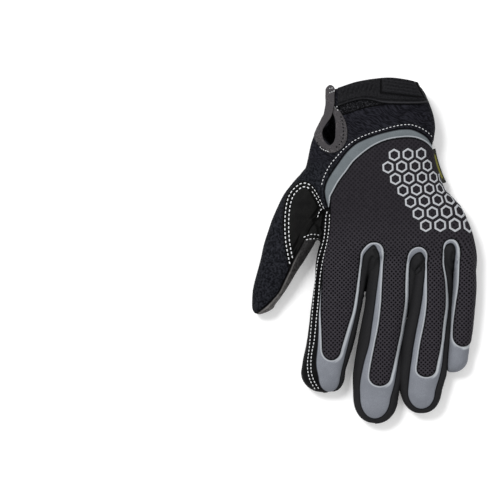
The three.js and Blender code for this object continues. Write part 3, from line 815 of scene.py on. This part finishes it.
def drop(surface, x, y):
    """The point straight below x, y on a surface and its normal, in mm."""
    hit, normal, _, _ = surface.ray_cast(Vector((x * MM, y * MM, 0.1)), Vector((0, 0, -1)))
    if hit is None:
        hit, normal, _, _ = surface.find_nearest(Vector((x * MM, y * MM, 0.012)))
    return hit / MM, normal


print("top of the hand above the origin in mm:", round(drop(form_surface, 0, 0)[0].z, 1))

# %% Making a piece and following a line
def new_piece(name, points, faces, node=None, slot=None):
    """A smooth-shaded piece that goes with the glove."""
    mesh = bpy.data.meshes.new(name)
    mesh.from_pydata([Vector(point) * MM for point in points], [], faces)
    made = new_object(name, mesh)
    select_only(made)
    bpy.ops.object.mode_set(mode="EDIT")
    bpy.ops.mesh.select_all(action="SELECT")
    bpy.ops.mesh.normals_make_consistent(inside=False)
    bpy.ops.object.mode_set(mode="OBJECT")
    bpy.ops.object.shade_smooth()
    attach(made, "root")
    if node:
        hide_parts(node)
    return made


def spaced(line, pitch):
    """Points at an even pitch along a line, each with its direction."""
    line = np.array(line, float)
    along = run_along(line)
    stops = np.arange(pitch / 2, along[-1], pitch)
    behind, spots, ahead = (
        np.column_stack([np.interp(stops + shift, along, line[:, i]) for i in range(2)]) for shift in (-0.4, 0, 0.4)
    )
    heading = ahead - behind
    return spots, heading / np.linalg.norm(heading, axis=1)[:, None]


def to_the_right(line):
    """The sideways direction at each point of a line, to the right of the way it runs."""
    heading = np.gradient(line, axis=0)
    return np.column_stack([heading[:, 1], -heading[:, 0]]) / np.linalg.norm(heading, axis=1)[:, None]


def ring_quads(start, ring, bands=1):
    """Faces between rings of points that follow each other from a start index."""
    return [[start + row * ring + i for row, i in ((band, side), (band, (side + 1) % ring),
                                                   (band + 1, (side + 1) % ring), (band + 1, side))]
            for band in range(bands) for side in range(ring)]


print("faces of a ring of three:", ring_quads(0, 3))

# %% [markdown]
# ## The tape round the vent
# One strand of tape starts at the cuff's rim, runs down, loops round the keyhole and ends under itself. Its section
# is a flat oval that stands on the cuff.

# %% Tape
Tape = namedtuple("Tape", "x y width lift")
TAPE = [
    Tape(-44.3, 90.2, 2.2, 2.2), Tape(-44.3, 87.4, 5.6, 2.1), Tape(-44.8, 83.0, 5.6, 1.5), Tape(-44.9, 77.7, 5.6, 1.3),
    Tape(-45.4, 73.5, 5.2, 1.4), Tape(-46.9, 68.6, 4.9, 1.3), Tape(-50.0, 64.4, 4.9, 0.7), Tape(-53.1, 59.5, 5.3, 0.5),
    Tape(-53.2, 53.9, 5.4, 0.5), Tape(-50.8, 49.0, 5.0, 0.5), Tape(-46.2, 45.6, 5.2, 0.5), Tape(-41.2, 47.6, 6.8, 0.5),
    Tape(-38.3, 52.5, 8.0, 0.5), Tape(-37.9, 58.8, 8.0, 0.5), Tape(-38.5, 64.4, 6.6, 0.5), Tape(-40.2, 69.3, 5.2, 0.4),
    Tape(-42.6, 73.4, 4.2, 0.2),
]
TAPE_THICKNESS = 1.3
TAPE_LOW = 20.0  # the tape goes no further down the cuff's side than this height
TAPE_LEAST, TAPE_STEP = 0.4, 0.02  # its least half width there, and the steps in which it gives way


def tape_reach(spot, side, far):
    """How far the tape reaches to one side before the cuff turns down too low."""
    while far > TAPE_LEAST and drop(form_surface, *(spot + side * far))[0].z < TAPE_LOW:
        far -= TAPE_STEP
    return far


def laid_tape(rows, thickness, steps=7, across=13):
    centre = smooth_line([[row.x, row.y] for row in rows], steps)
    width, lift = smooth_line([[row.width, row.lift] for row in rows], steps).T
    side = -to_the_right(centre)
    turn = np.linspace(0, 2 * math.pi, 2 * across, endpoint=False)
    points = []
    for i, (spot, wide, high) in enumerate(zip(centre, width, lift)):
        closing = min(1, 0.55 + 0.25 * min(i, len(centre) - 1 - i))
        half = wide / 2 * closing
        reach = {1: tape_reach(spot, side[i], half), -1: tape_reach(spot, -side[i], half)}
        for angle in turn:
            way = 1 if math.cos(angle) > 0 else -1
            offset = way * abs(math.cos(angle)) ** 0.75 * reach[way]
            hit, normal = drop(form_surface, *(spot + side[i] * offset))
            rise = high + thickness * (0.5 + 0.5 * math.copysign(abs(math.sin(angle)) ** 0.6, math.sin(angle)))
            points.append(hit + (normal * 0.6 + Vector((0, 0, 0.4))) * rise)
    ring, last = len(turn), (len(centre) - 1) * len(turn)
    return points, ring_quads(0, ring, len(centre) - 1) + [list(range(ring)), list(range(last, last + ring))]


tape = new_piece("vent_tape", *laid_tape(TAPE, TAPE_THICKNESS), "slit_binding", "binding_cloth")
print("tape points:", len(tape.data.vertices))

# %% [markdown]
# ## The wrist strap
# The strap is a moulded strip that follows the cuff's round. A grid runs from its left end to the slanted free end
# and from its lower to its upper edge. Heights over the cuff give it its rim, its frame and its grip ribs.

# %% Strap
STRAP_TOP = [[-40.6, 88.2], [-25.9, 92.7], [-7, 95.2], [6, 94.2], [15.3, 92.3]]
STRAP_BOTTOM = [[-40.6, 75], [-30, 78.4], [-20.3, 79.5], [-7, 76.7], [14, 76.7], [23.5, 78.1]]
STRAP_CELLS = (150, 48)
STRAP_LIFT, STRAP_WALL = 1.9, 2.0
STRAP_ACROSS = 17.0
STRAP_LEFT, STRAP_END_LOW, STRAP_END_TOP = -40.6, 23.5, 15.3  # X of the left end and of the slanted free end
FRAME_LEFT, FRAME_LOW = -10.5, [[-10.5, 84.6], [19.5, 81.6]]
RIB_PITCH, RIB_RANGE = 3.1, (-38.0, -14.5)
FINE_PITCH = 2.2  # of the faint lines inside the frame


def bell(distance, width):
    return math.exp(-(distance / width) ** 2)


def strap_height(x, y, v, to_end):
    """How high the strap's face stands over its plain sheet at one spot."""
    border = min(v, 1 - v) * STRAP_ACROSS
    high = -0.7 * bell(min(border, to_end), 0.45)
    fold = v * STRAP_ACROSS
    ridge = np.interp(x, [-24, -6], [0.3, 0.55])
    high += ridge * bell(fold - 1.3, 0.7) - 0.3 * bell(fold - 2.8, 0.5)
    frame_low = np.interp(x, *np.array(FRAME_LOW).T)
    in_frame = min(x - FRAME_LEFT, y - frame_low, to_end - 1.8)
    high += 0.22 / (1 + math.exp(-in_frame / 0.25)) - 0.7 * bell(in_frame, 0.6)
    if RIB_RANGE[0] < x < RIB_RANGE[1]:
        middle = math.exp(-((v - 0.6) / 0.19) ** 4)
        high += 0.22 * middle * math.cos(2 * math.pi * (x - 0.4 * (y - 88)) / RIB_PITCH)
    elif in_frame > 1.6 and to_end > 2.5:
        high += 0.10 * math.cos(2 * math.pi * (y + 0.13 * x) / FINE_PITCH)
    return high


def strap_grid():
    """The points and faces of the strap's face, row by row, and the relief at each point."""
    top, bottom = smooth_line(STRAP_TOP), smooth_line(STRAP_BOTTOM)
    rows = np.array(PALM_FORM)[::-1]
    points, heights = [], []
    for j in range(STRAP_CELLS[1] + 1):
        v = j / STRAP_CELLS[1]
        end_x = STRAP_END_LOW + (STRAP_END_TOP - STRAP_END_LOW) * v
        for i in range(STRAP_CELLS[0] + 1):
            x = STRAP_LEFT + (end_x - STRAP_LEFT) * i / STRAP_CELLS[0]
            y_low, y_high = np.interp(x, *bottom.T), np.interp(x, *top.T)
            y = y_low + (y_high - y_low) * v
            left, right, high, low = (np.interp(y, rows[:, 0], rows[:, k]) for k in range(1, 5))
            middle, wide, tall = (left + right) / 2, (right - left) / 2 + 3.0, (high - low) / 2 + STRAP_LIFT
            t = min(abs((x - middle) / wide), 0.999)
            z = (high + low) / 2 + tall * (1 - t ** PALM_FULLNESS) ** (1 / PALM_FULLNESS)
            z += 0.5 * bell(x + 22, 9) * (1 - v)
            heights.append(strap_height(x, y, v, end_x - x))
            points.append((x, y, z + heights[-1]))
    wide = STRAP_CELLS[0] + 1
    faces = [[j * wide + i, j * wide + i + 1, (j + 1) * wide + i + 1, (j + 1) * wide + i]
             for j in range(STRAP_CELLS[1]) for i in range(STRAP_CELLS[0])]
    return points, faces, np.array(heights)


strap_points, strap_faces, strap_relief = strap_grid()
strap = new_piece("closing_strap", strap_points, strap_faces, "wrist_strap", "strap_rubber")
keep_measure(strap.data, "relief", strap_relief)
thicken(strap, STRAP_WALL)
print("strap relief in mm:", strap_relief.min().round(2), strap_relief.max().round(2))

# %% [markdown]
# ## The side tab
# A small yellow tab with a black edge is sewn into the side seam. It hangs outwards, so it shows nearly edge-on.

# %% Tab
TAB = {"size": (1.0, 25.0, 8.0), "centre": (30.2, 34.2, 12.2), "turn": 0.31, "lean": 0.42}

bpy.ops.mesh.primitive_cube_add(size=1)
tab = bpy.context.object
tab.name = "side_tab"
bpy.ops.object.mode_set(mode="EDIT")
bpy.ops.mesh.select_all(action="SELECT")
bpy.ops.transform.resize(value=[size * MM for size in TAB["size"]])
bpy.ops.mesh.subdivide(number_cuts=7)
bpy.ops.object.mode_set(mode="OBJECT")
for vertex in tab.data.vertices:
    bow = (vertex.co.y / (12 * MM)) ** 2
    vertex.co.x += (0.8 * bow - 0.5) * MM
tab.data.transform(Matrix.Translation(Vector(TAB["centre"]) * MM) @ Matrix.Rotation(TAB["turn"], 4, "Z")
                   @ Matrix.Rotation(-TAB["lean"], 4, "Y"))
tab.data.update()
select_only(tab)
bpy.ops.object.shade_smooth_by_angle(angle=0.6)
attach(tab, "root")
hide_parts("side_label")
print("tab size in mm:", [round(size / MM, 1) for size in tab.dimensions])

# %% [markdown]
# ## The printed pattern
# The back of the hand carries a light grey print, here a cluster of honeycomb cells. Each cell is a thin ring of ink
# that lies on the mesh fabric, with a slightly wider black ring below it. Cloth is printed before it is sewn, so the
# cells are laid out on the flat pattern, and the ones at the hand's side turn down with the cloth.

# %% Print
CELL_RADIUS = 5.2
RING_RADIUS = 0.9 * CELL_RADIUS - 1.2
GRID_SHIFT = (-4.0, -2.0)
AREA_EDGE = 2.0  # how far inside the area a cell's middle lies
INK_THICKNESS = 0.12
PRINT_LIGHT, PRINT_DARK = (1.35, 0.22), (2.1, 0.14)  # line width and height over the fabric
PRINT_AREA = [[-4, 50], [12, 52], [24, 44], [30, 34], [40, 22], [50, 8], [53, -8], [44, -15], [26, -15], [12, -10],
              [2, 4], [-7, 24]]
EDGE_STEPS = 5


def honeycomb(area, radius):
    """Middles of the cells whose middle lies in the area."""
    found = []
    for row in range(-8, 14):
        for column in range(-4, 12):
            x = (column + (row % 2) / 2) * radius * math.sqrt(3)
            found.append((x + GRID_SHIFT[0], row * radius * 1.5 + GRID_SHIFT[1]))
    found = np.array(found)
    return found[distance_inside(found, np.array(area, float)) > AREA_EDGE]


def printed_rings(cells, width, height):
    """A ring of six sides for each cell that the fabric holds in full."""
    points, faces = [], []
    for x, y in cells:
        start, ring_points = len(points), []
        for radius in (RING_RADIUS + width / 2, RING_RADIUS - width / 2):
            for corner in range(6):
                for step in range(EDGE_STEPS):
                    share = step / EDGE_STEPS
                    a, b = (math.radians(60 * (corner + k) + 30) for k in (0, 1))
                    px = x + radius * ((1 - share) * math.cos(a) + share * math.cos(b))
                    py = y + radius * ((1 - share) * math.sin(a) + share * math.sin(b))
                    ring_points.append(from_pattern(px, py, height))
        if None in ring_points:
            continue
        points += ring_points
        faces += ring_quads(start, 6 * EDGE_STEPS)
    return points, faces


cells = honeycomb(PRINT_AREA, CELL_RADIUS)
prints = {}
for name, (width, height) in (("print_light", PRINT_LIGHT), ("print_dark", PRINT_DARK)):
    prints[name] = new_piece(name, *printed_rings(cells, width, height))
    thicken(prints[name], INK_THICKNESS)
print("cells:", len(cells))

# %% [markdown]
# ## Stitches
# Every stitch is a short bead of thread. White thread shows on the leather and along the cuff. Fine black thread
# holds the mesh fabric's folded edge and the tape.

# %% Stitch rows
Thread = namedtuple("Thread", "pitch length width lift")
WHITE = Thread(2.95, 1.75, 0.9, 0.12)
CLOSE_WHITE = Thread(2.5, 1.55, 0.72, 0.12)
SMALL_WHITE = Thread(2.6, 1.45, 0.55, 0.1)
DARK_DOT = Thread(2.5, 1.15, 1.0, 0.1)
BLACK = Thread(1.6, 1.0, 0.42, 0.02)
TACK = Thread(1.5, 1.1, 0.5, 0.15)
WHITE_ROWS = {
    "index outer": [[-47.6, 2.8], [-48.6, -2.1], [-49.0, -9.1], [-50.0, -17.5], [-52.3, -25.9], [-54.1, -32.9],
                    [-55.4, -43.5], [-56.9, -58.5], [-58.2, -73.5], [-59.4, -87.5], [-60.3, -95.9], [-61.2, -102.9],
                    [-60.9, -109.9], [-59.1, -116.2], [-55.6, -122.5]],
    "index inner": [[-46.0, 0.7], [-46.1, -4.9], [-46.8, -12.6], [-47.9, -19.6], [-49.7, -27.3], [-51.1, -34.3],
                    [-52.5, -43.5], [-53.7, -58.5], [-55.2, -73.5], [-56.6, -87.5], [-58.2, -95.9], [-58.9, -102.9],
                    [-58.6, -109.9], [-56.6, -116.2], [-52.8, -122.5]],
    "crotch": [[-54.6, -2.1], [-53.2, 2.1], [-50.8, 4.5], [-48.3, 3.8]],
    "web upper": [[-64.6, -15.8], [-58.8, -13.6], [-52.9, -14.1]],
    "web lower": [[-65.4, -18.2], [-59.5, -16.8], [-53.6, -16.4]],
}
PATCH_ROWS = [1.3, 3.9]  # distances from the patch's edge
CUFF_ROW = [
    [-51.8, 20.3], [-50.4, 25.2], [-48.3, 30.1], [-45.5, 35.0], [-42.7, 38.5], [-38.5, 43.4], [-35.0, 46.9],
    [-30.1, 50.8], [-24.5, 53.9], [-17.5, 56.7], [-10.5, 58.8], [-3.5, 60.9], [3.5, 62.3], [9.1, 62.6], [14.0, 61.6],
    [18.9, 59.5], [23.1, 56.7], [26.6, 53.2],
]
TAPE_DARK_ROWS = [
    [[-38.6, 69.0], [-37.3, 64.3], [-36.7, 60.0], [-36.6, 56.0], [-37.1, 52.5], [-38.8, 49.4], [-41.4, 47.0]],
    [[-55.0, 51.4], [-53.8, 48.7], [-51.6, 46.6], [-48.8, 45.2]],
]
TAPE_WHITE_ROW = [[-53.0, 47.6], [-51.0, 45.6], [-48.0, 44.3], [-46.0, 43.9]]
TAPE_TACKS = [[[-46.6, 88.0], [-42.4, 88.2]], [[-46.5, 84.6], [-42.0, 86.4]], [[-43.0, 75.6], [-40.4, 72.6]],
              [[-42.6, 73.6], [-40.6, 75.6]]]
print("stitches to 100 mm of a leather seam:", round(100 / CLOSE_WHITE.pitch))

# %% Sewing
def shifted(line, distance):
    """A line moved sideways, to the right of its direction."""
    return line + to_the_right(line) * distance


def bead(centre, along, up, thread, points, faces):
    """Adds one stitch: a capsule of six sides."""
    across = along.cross(up).normalized()
    up = across.cross(along).normalized()
    start = len(points)
    for place, size in ((-0.5, 0.35), (-0.36, 0.9), (0.0, 1.0), (0.36, 0.9), (0.5, 0.35)):
        for side in range(6):
            turn = side * math.pi / 3
            points.append(centre + along * thread.length * place
                          + (across * math.cos(turn) + up * math.sin(turn) * 0.8) * thread.width / 2 * size)
    faces += ring_quads(start, 6, 4)
    faces += [list(range(start, start + 6))[::-1], list(range(start + 24, start + 30))]


def sewn(name, surface, rows):
    """One piece with all the stitches of several rows, each given as a line and a thread."""
    points, faces = [], []
    for line, thread in rows:
        for spot, heading in zip(*spaced(line, thread.pitch)):
            hit, normal = drop(surface, *spot)
            before, _ = drop(surface, *(spot - heading * 0.5))
            after, _ = drop(surface, *(spot + heading * 0.5))
            along = (after - before).normalized()
            if normal.z > 0.15 and abs(along.z) < 0.85:
                bead(hit + normal * thread.lift, along, normal, thread, points, faces)
    return new_piece(name, points, faces)


glove_surface = tree_of(*panels.values(), tape)
patch_edge = smooth_line(PATCH_SIDE)
rows = [(smooth_line(line), CLOSE_WHITE) for line in WHITE_ROWS.values()]
for distance in PATCH_ROWS:
    line = shifted(patch_edge, np.interp(patch_edge[:, 0], [-62, -50], [distance, 0.6 * distance])[:, None])
    line = line[distance_inside(line, OUTLINES["patch"]) > 0.6]
    right_limb = line[:, 0] > -59
    rows += [(line[~right_limb], WHITE), (line[right_limb], SMALL_WHITE)]
rows += [(smooth_line(CUFF_ROW), SMALL_WHITE), (smooth_line(TAPE_WHITE_ROW), TACK)]
rows += [(line, TACK) for line in TAPE_TACKS]
white_thread = sewn("white_stitches", glove_surface, rows)
dark_rows = [(smooth_line(row), DARK_DOT) for row in TAPE_DARK_ROWS]
dark_rows.append((shifted(OUTLINES["mesh"], -0.5), BLACK))
black_thread = sewn("black_stitches", glove_surface, dark_rows)
print("stitch faces:", len(white_thread.data.polygons), len(black_thread.data.polygons))

# %% [markdown]
# ## Materials
# Every cloth is described by a colour and a small height pattern, both worked out from the place on the glove in
# millimetres. The distance to the seam darkens the folded edges with painted shade.

# %% Building blocks of a material
class Look:
    """A material put together step by step."""

    def __init__(self, name, rough, shine):
        self.material = bpy.data.materials.new(name)
        self.material.use_nodes = True
        self.tree = self.material.node_tree
        self.shader = self.tree.nodes["Principled BSDF"].inputs
        self.put(self.shader["Roughness"], rough)
        self.put(self.shader["Specular IOR Level"], shine)
        here = self.node("TexCoord")
        self.facing = here["Normal"]
        self.place = self.scaled(here["Object"], (1000, 1000, 1000))
        self.x, self.y, self.z = self.parts(self.place)

    def put(self, socket, value):
        """Links another node's output to a socket, or sets the socket to a number, a vector or a colour."""
        if isinstance(value, bpy.types.NodeSocket):
            self.tree.links.new(value, socket)
        else:
            socket.default_value = (*value, 1) if socket.type == "RGBA" else value

    def node(self, kind, inputs=(), **settings):
        """The outputs of a new node with the given settings and inputs."""
        made = self.tree.nodes.new("ShaderNode" + kind)
        for name, value in settings.items():
            setattr(made, name, value)
        for key, value in dict(inputs).items():
            self.put(made.inputs[key], value)
        return made.outputs

    def scaled(self, vector, factors):
        return self.node("VectorMath", {0: vector, 1: factors}, operation="MULTIPLY")[0]

    def math(self, operation, *values):
        return self.node("Math", enumerate(values), operation=operation)[0]

    def parts(self, vector):
        return self.node("SeparateXYZ", {0: vector})

    def joined(self, *values):
        return self.node("CombineXYZ", enumerate(values))[0]

    def mix(self, factor, low, high):
        return self.node("Mix", {"Factor": factor, "A": low, "B": high}, data_type="RGBA")["Result"]

    def noise(self, scale, detail=2.0, stretch=(1, 1, 1), vector=None):
        vector = self.scaled(vector or self.place, stretch)
        return self.node("TexNoise", {"Vector": vector, "Scale": scale, "Detail": detail})["Fac"]

    def ramp(self, value, low, high):
        """0 at low, 1 at high, smooth between."""
        inputs = {"Value": value, "From Min": low, "From Max": high}
        return self.node("MapRange", inputs, interpolation_type="SMOOTHSTEP")["Result"]

    def measure(self, name):
        return self.node("Attribute", attribute_name=name)["Fac"]

    def near(self, value, target, far, close):
        """0 where a value is far from its target, 1 where it is close."""
        return self.ramp(self.math("ABSOLUTE", self.math("SUBTRACT", value, target)), far, close)

    def waves(self, value, pitch):
        """A cosine wave between 0 and 1."""
        turn = self.math("MULTIPLY", value, 2 * math.pi / pitch)
        return self.math("MULTIPLY_ADD", self.math("COSINE", turn), 0.5, 0.5)

    def edged(self, colour, far, close, dark):
        """The colour with painted shade by the seam, darker from far to close."""
        return self.mix(self.ramp(self.measure("seam"), far, close), colour, dark)

    def finish(self, colour, height=None, depth=0.2, strength=1.0):
        self.put(self.shader["Base Color"], colour)
        if height is not None:
            bump = self.node("Bump", {"Distance": depth * MM, "Strength": strength, "Height": height})
            self.put(self.shader["Normal"], bump["Normal"])
        return self.material


print("steps of a look:", [step for step in vars(Look) if not step.startswith("__")])

# %% The mesh fabric and the suede
WEAVE_PITCH = 3.0
ROUND_FROM, ROUND_TO = 49.0, 58.0  # X at which the fabric starts to turn down and has turned down


def mesh_fabric():
    look = Look("mesh_cloth", 0.75, 0.04)
    flank = look.math("MULTIPLY", look.ramp(look.x, ROUND_FROM, ROUND_TO), 0.6)
    in_plan = look.joined(look.math("MULTIPLY_ADD", flank, look.math("SUBTRACT", 20.0, look.z), look.x), look.y)
    pattern = look.node("UVMap", uv_map="pattern")["UV"]
    u, v, _ = look.parts(look.mix(look.ramp(look.y, -15.0, -45.0), pattern, in_plan))
    wander = look.math("MULTIPLY", look.noise(0.12, 1.0), 1.6)
    left = look.math("ADD", look.math("ADD", u, v), wander)
    right = look.math("SUBTRACT", look.math("SUBTRACT", u, v), wander)
    holes = look.math("MULTIPLY", look.waves(left, WEAVE_PITCH), look.waves(right, WEAVE_PITCH))
    fingers = look.ramp(look.y, 10.0, -40.0)
    open_weave = look.math("MULTIPLY_ADD", fingers, 0.5, 0.5)
    holes = look.math("MULTIPLY", look.ramp(holes, 0.12, 0.6), open_weave)
    yarn = look.noise(0.5, 3.0)
    on_fingers = look.mix(yarn, (0.0165, 0.0147, 0.0186), (0.0420, 0.0385, 0.0450))
    on_palm = look.mix(yarn, (0.0105, 0.0092, 0.0118), (0.0255, 0.0230, 0.0275))
    colour = look.mix(holes, look.mix(fingers, on_palm, on_fingers), (0.0012, 0.0010, 0.0016))
    # Painted shade: the mesh fabric goes near black by its seams.
    colour = look.edged(colour, 1.2, 0.5, (0.002, 0.002, 0.0025))
    return look.finish(colour, look.math("SUBTRACT", 1.0, holes), 0.35, 0.8)


def suede(name, low, high, worn):
    """Grey suede with a painted highlight on its rim beside the mesh fabric and painted shade along its outer seam;
    worn says how strong the painted highlight is on the left and, added, on the right.
    """
    look = Look(name, 0.85, 0.06)
    grain = look.ramp(look.noise(2.4, 3.0), 0.3, 0.7)
    cloud = look.ramp(look.noise(0.12, 2.0), 0.4, 0.7)
    colour = look.mix(look.math("MULTIPLY", cloud, 0.5), look.mix(grain, low, high), low)
    mesh_line = look.measure("mesh_line")
    # Painted highlight: the rim beside the mesh fabric is paler where the trim turns sideways, and more so where it
    # faces right, away from the key lamp.
    turned = look.parts(look.facing)[0]
    sideways = look.ramp(look.math("ABSOLUTE", turned), 0.08, 0.35)
    right = look.math("MULTIPLY_ADD", look.ramp(turned, 0.1, 0.45), worn[1], worn[0])
    pale = look.math("MULTIPLY", sideways, look.math("MULTIPLY", look.ramp(mesh_line, -2.9, -1.3), right))
    colour = look.mix(pale, colour, (0.455, 0.480, 0.505))
    # Painted highlight: a thin pale line on the trim along the mesh fabric's edge.
    fold = look.math("MULTIPLY", look.near(mesh_line, -0.75, 0.6, 0.2), 0.75)
    colour = look.mix(fold, colour, (0.40, 0.415, 0.44))
    # Painted shade: a dark line along the trim's outer seam.
    outer = look.math("MULTIPLY", look.ramp(look.measure("seam"), 0.95, 0.35), look.ramp(mesh_line, -1.2, -1.9))
    colour = look.mix(outer, colour, (0.02, 0.022, 0.026))
    return look.finish(colour, grain, 0.15, 0.5)

# %% The cuff and the leather
def cuff_fabric():
    """Slanted strokes of knit, which turn into curly fleece towards the thumb."""
    look = Look("cuff_cloth", 0.85, 0.03)
    bend = look.math("MULTIPLY", look.noise(0.09, 1.0), 9.0)
    slanted = look.joined(look.math("SUBTRACT", look.x, look.math("MULTIPLY", look.y, 0.5)),
                          look.math("ADD", look.math("MULTIPLY_ADD", look.x, 0.5, look.y), bend), look.z)
    strokes = look.ramp(look.noise(0.8, 2.0, (0.3, 1.6, 0.6), slanted), 0.36, 0.64)
    knit = look.mix(strokes, (0.0034, 0.0034, 0.0047), (0.0155, 0.0155, 0.0205))
    curls = look.ramp(look.noise(0.7, 4.0), 0.35, 0.68)
    fleece = look.mix(curls, (0.0030, 0.0033, 0.0045), (0.0175, 0.0185, 0.0230))
    thumb = look.ramp(look.math("ADD", look.y, look.math("MULTIPLY", look.noise(0.1, 1.0), 6.0)), 44.0, 32.0)
    height = look.math("ADD", look.math("MULTIPLY", strokes, look.math("SUBTRACT", 1.0, thumb)),
                       look.math("MULTIPLY", curls, thumb))
    # Painted shade by the seams.
    colour = look.edged(look.mix(thumb, knit, fleece), 1.2, 0.5, (0.0008, 0.0008, 0.0012))
    return look.finish(colour, height, 0.4, 0.7)


def leather(name, low, high, grain_size=1.2, shine=0.04, rows=()):
    """Synthetic leather with painted shade by its seam; rows are the distances from the seam at which stitches press a
    groove that gets a dark line of painted shade.
    """
    look = Look(name, 0.6, shine)
    grain = look.noise(grain_size, 3.0)
    colour = look.mix(look.ramp(look.noise(0.2, 2.0), 0.35, 0.65), low, high)
    colour = look.mix(look.ramp(grain, 0.3, 0.7), colour, tuple(0.8 * part for part in low))
    # Painted shade by the seam.
    colour = look.edged(colour, 0.7, 0.1, (0.003, 0.003, 0.003))
    sewn_side = look.math("MAXIMUM", look.ramp(look.y, -4.0, -1.0),
                          look.ramp(look.math("MULTIPLY_ADD", look.y, -0.21, look.x), -63.5, -64.5))
    # Painted shade: a dark line along each stitch groove on the sewn side.
    for row in rows:
        dark = look.math("MULTIPLY", sewn_side, look.near(look.measure("seam"), row, 1.1, 0.7))
        colour = look.mix(dark, colour, (0.0006, 0.0006, 0.0006))
    return look.finish(colour, grain, 0.25, 0.6)


def thumb_strip():
    """Black leather by the web, and mottled brown with a painted highlight, a pale line, along it towards the thumb's
    tip, and painted shade at its seam.
    """
    look = Look("thumb_strip", 0.75, 0.05)
    mottle = look.ramp(look.noise(0.8, 4.0, (1, 0.6, 1)), 0.3, 0.7)
    pale = look.mix(mottle, (0.045, 0.043, 0.042), (0.145, 0.138, 0.134))
    dim = look.mix(mottle, (0.012, 0.0115, 0.0115), (0.036, 0.035, 0.035))
    brown = look.mix(look.ramp(look.y, -30.0, -64.0), dim, pale)
    colour = look.mix(look.ramp(look.y, -16.2, -17.4), (0.0095, 0.0095, 0.0095), brown)
    # Painted highlight: a pale line along the strip, just inside its seam.
    rim = look.math("MULTIPLY", look.near(look.measure("seam"), 1.9, 0.8, 0.3), look.ramp(look.y, -22.0, -36.0))
    colour = look.mix(look.math("MULTIPLY", rim, 0.6), colour, (0.17, 0.162, 0.158))
    # Painted shade at the seam.
    colour = look.edged(colour, 1.3, 0.7, (0.0008, 0.0008, 0.0008))
    return look.finish(colour, mottle, 0.35, 0.7)

# %% The small parts
def stretch_fabric():
    look = Look("stretch_cloth", 0.8, 0.05)
    grain = look.noise(1.3, 3.0)
    colour = look.mix(grain, (0.0085, 0.0085, 0.0095), (0.0205, 0.0203, 0.0215))
    # Painted shade by the seams.
    return look.finish(look.edged(colour, 0.7, 0.15, (0.003, 0.003, 0.004)), grain, 0.2, 0.5)


def rubber():
    """Black rubber, with a painted highlight on its ribs and painted shade in its grooves."""
    look = Look("strap_rubber", 0.5, 0.06)
    grain = look.ramp(look.noise(0.8, 3.0), 0.3, 0.7)
    relief = look.measure("relief")
    colour = look.mix(grain, (0.0036, 0.0036, 0.0045), (0.0092, 0.0092, 0.0105))
    # Painted highlight on the raised ribs and painted shade in the grooves, both from the relief.
    colour = look.mix(look.ramp(relief, 0.18, 0.6), colour, (0.026, 0.026, 0.029))
    colour = look.mix(look.ramp(relief, -0.05, -0.3), colour, (0.0012, 0.0012, 0.0015))
    return look.finish(colour, grain, 0.3, 0.8)


def tape_fabric():
    look = Look("binding_cloth", 0.85, 0.05)
    grain = look.ramp(look.noise(1.1, 4.0), 0.3, 0.7)
    colour = look.mix(grain, (0.026, 0.024, 0.0255), (0.082, 0.077, 0.080))
    colour = look.mix(look.ramp(look.noise(0.15, 1.0), 0.35, 0.65), colour, (0.048, 0.045, 0.048))
    return look.finish(colour, grain, 0.3, 0.8)


def loop_pile():
    look = Look("hook_pile", 0.9, 0.03)
    loops = look.ramp(look.noise(1.1, 4.0), 0.42, 0.62)
    colour = look.mix(loops, (0.0025, 0.0025, 0.003), (0.024, 0.024, 0.027))
    # Painted shade by the seam.
    return look.finish(look.edged(colour, 0.9, 0.4, (0.002, 0.002, 0.002)), loops, 0.6, 1.0)


def tab_fabric():
    """Black cloth with a yellow face in its middle."""
    look = Look("label_cloth", 0.8, 0.1)
    grain = look.noise(0.5, 2.0)
    yellow = look.mix(grain, (0.11, 0.105, 0.012), (0.21, 0.20, 0.03))
    face = look.math("MULTIPLY", look.ramp(look.z, 10.4, 11.0), look.ramp(look.z, 13.8, 13.2))
    along = look.math("MULTIPLY", look.ramp(look.y, 25.0, 26.5), look.ramp(look.y, 43.5, 41.0))
    colour = look.mix(look.math("MULTIPLY", face, along), (0.010, 0.010, 0.007), yellow)
    return look.finish(colour, grain, 0.2, 0.4)


def plain(name, colour, rough=0.8, shine=0.12):
    return Look(name, rough, shine).finish(colour)

# %% Every piece gets its look
looks = {
    "mesh_cloth": mesh_fabric(),
    "cuff_cloth": cuff_fabric(),
    # The last pair of a suede gives its painted highlight on the left and, added, on the right.
    "grey_trim": suede("grey_trim", (0.142, 0.151, 0.172), (0.200, 0.211, 0.238), (0.25, 0.6)),
    "grey_band": suede("grey_band", (0.098, 0.112, 0.121), (0.140, 0.158, 0.170), (0.0, 0.0)),
    "palm_leather": leather("palm_leather", (0.0075, 0.0075, 0.008), (0.0135, 0.0135, 0.014)),
    "patch_leather": leather("patch_leather", (0.005, 0.005, 0.005), (0.0085, 0.0085, 0.0082), 2.0, rows=PATCH_ROWS),
    "index_leather": leather("index_leather", (0.0022, 0.0022, 0.0024), (0.0055, 0.0055, 0.0058)),
    "thumb_strip": thumb_strip(),
    "stretch_cloth": stretch_fabric(),
    "strap_rubber": rubber(),
    "binding_cloth": tape_fabric(),
    "hook_pile": loop_pile(),
    "label_cloth": tab_fabric(),
    "white_thread": plain("white_thread", (0.62, 0.63, 0.64)),
    "black_thread": plain("black_thread", (0.004, 0.004, 0.005)),
    "light_ink": plain("light_ink", (0.37, 0.38, 0.40)),
    "dark_ink": plain("dark_ink", (0.005, 0.005, 0.006)),
}
for name, loft in PANELS.items():
    panels[name].data.materials.append(looks[loft.look])
for piece, look in ((tape, "binding_cloth"), (strap, "strap_rubber"), (tab, "label_cloth"),
                    (prints["print_light"], "light_ink"), (prints["print_dark"], "dark_ink"),
                    (white_thread, "white_thread"), (black_thread, "black_thread")):
    piece.data.materials.append(looks[look])
bpy.data.objects.remove(form)
print("looks:", sorted(looks))

# %% [markdown]
# ## Finish
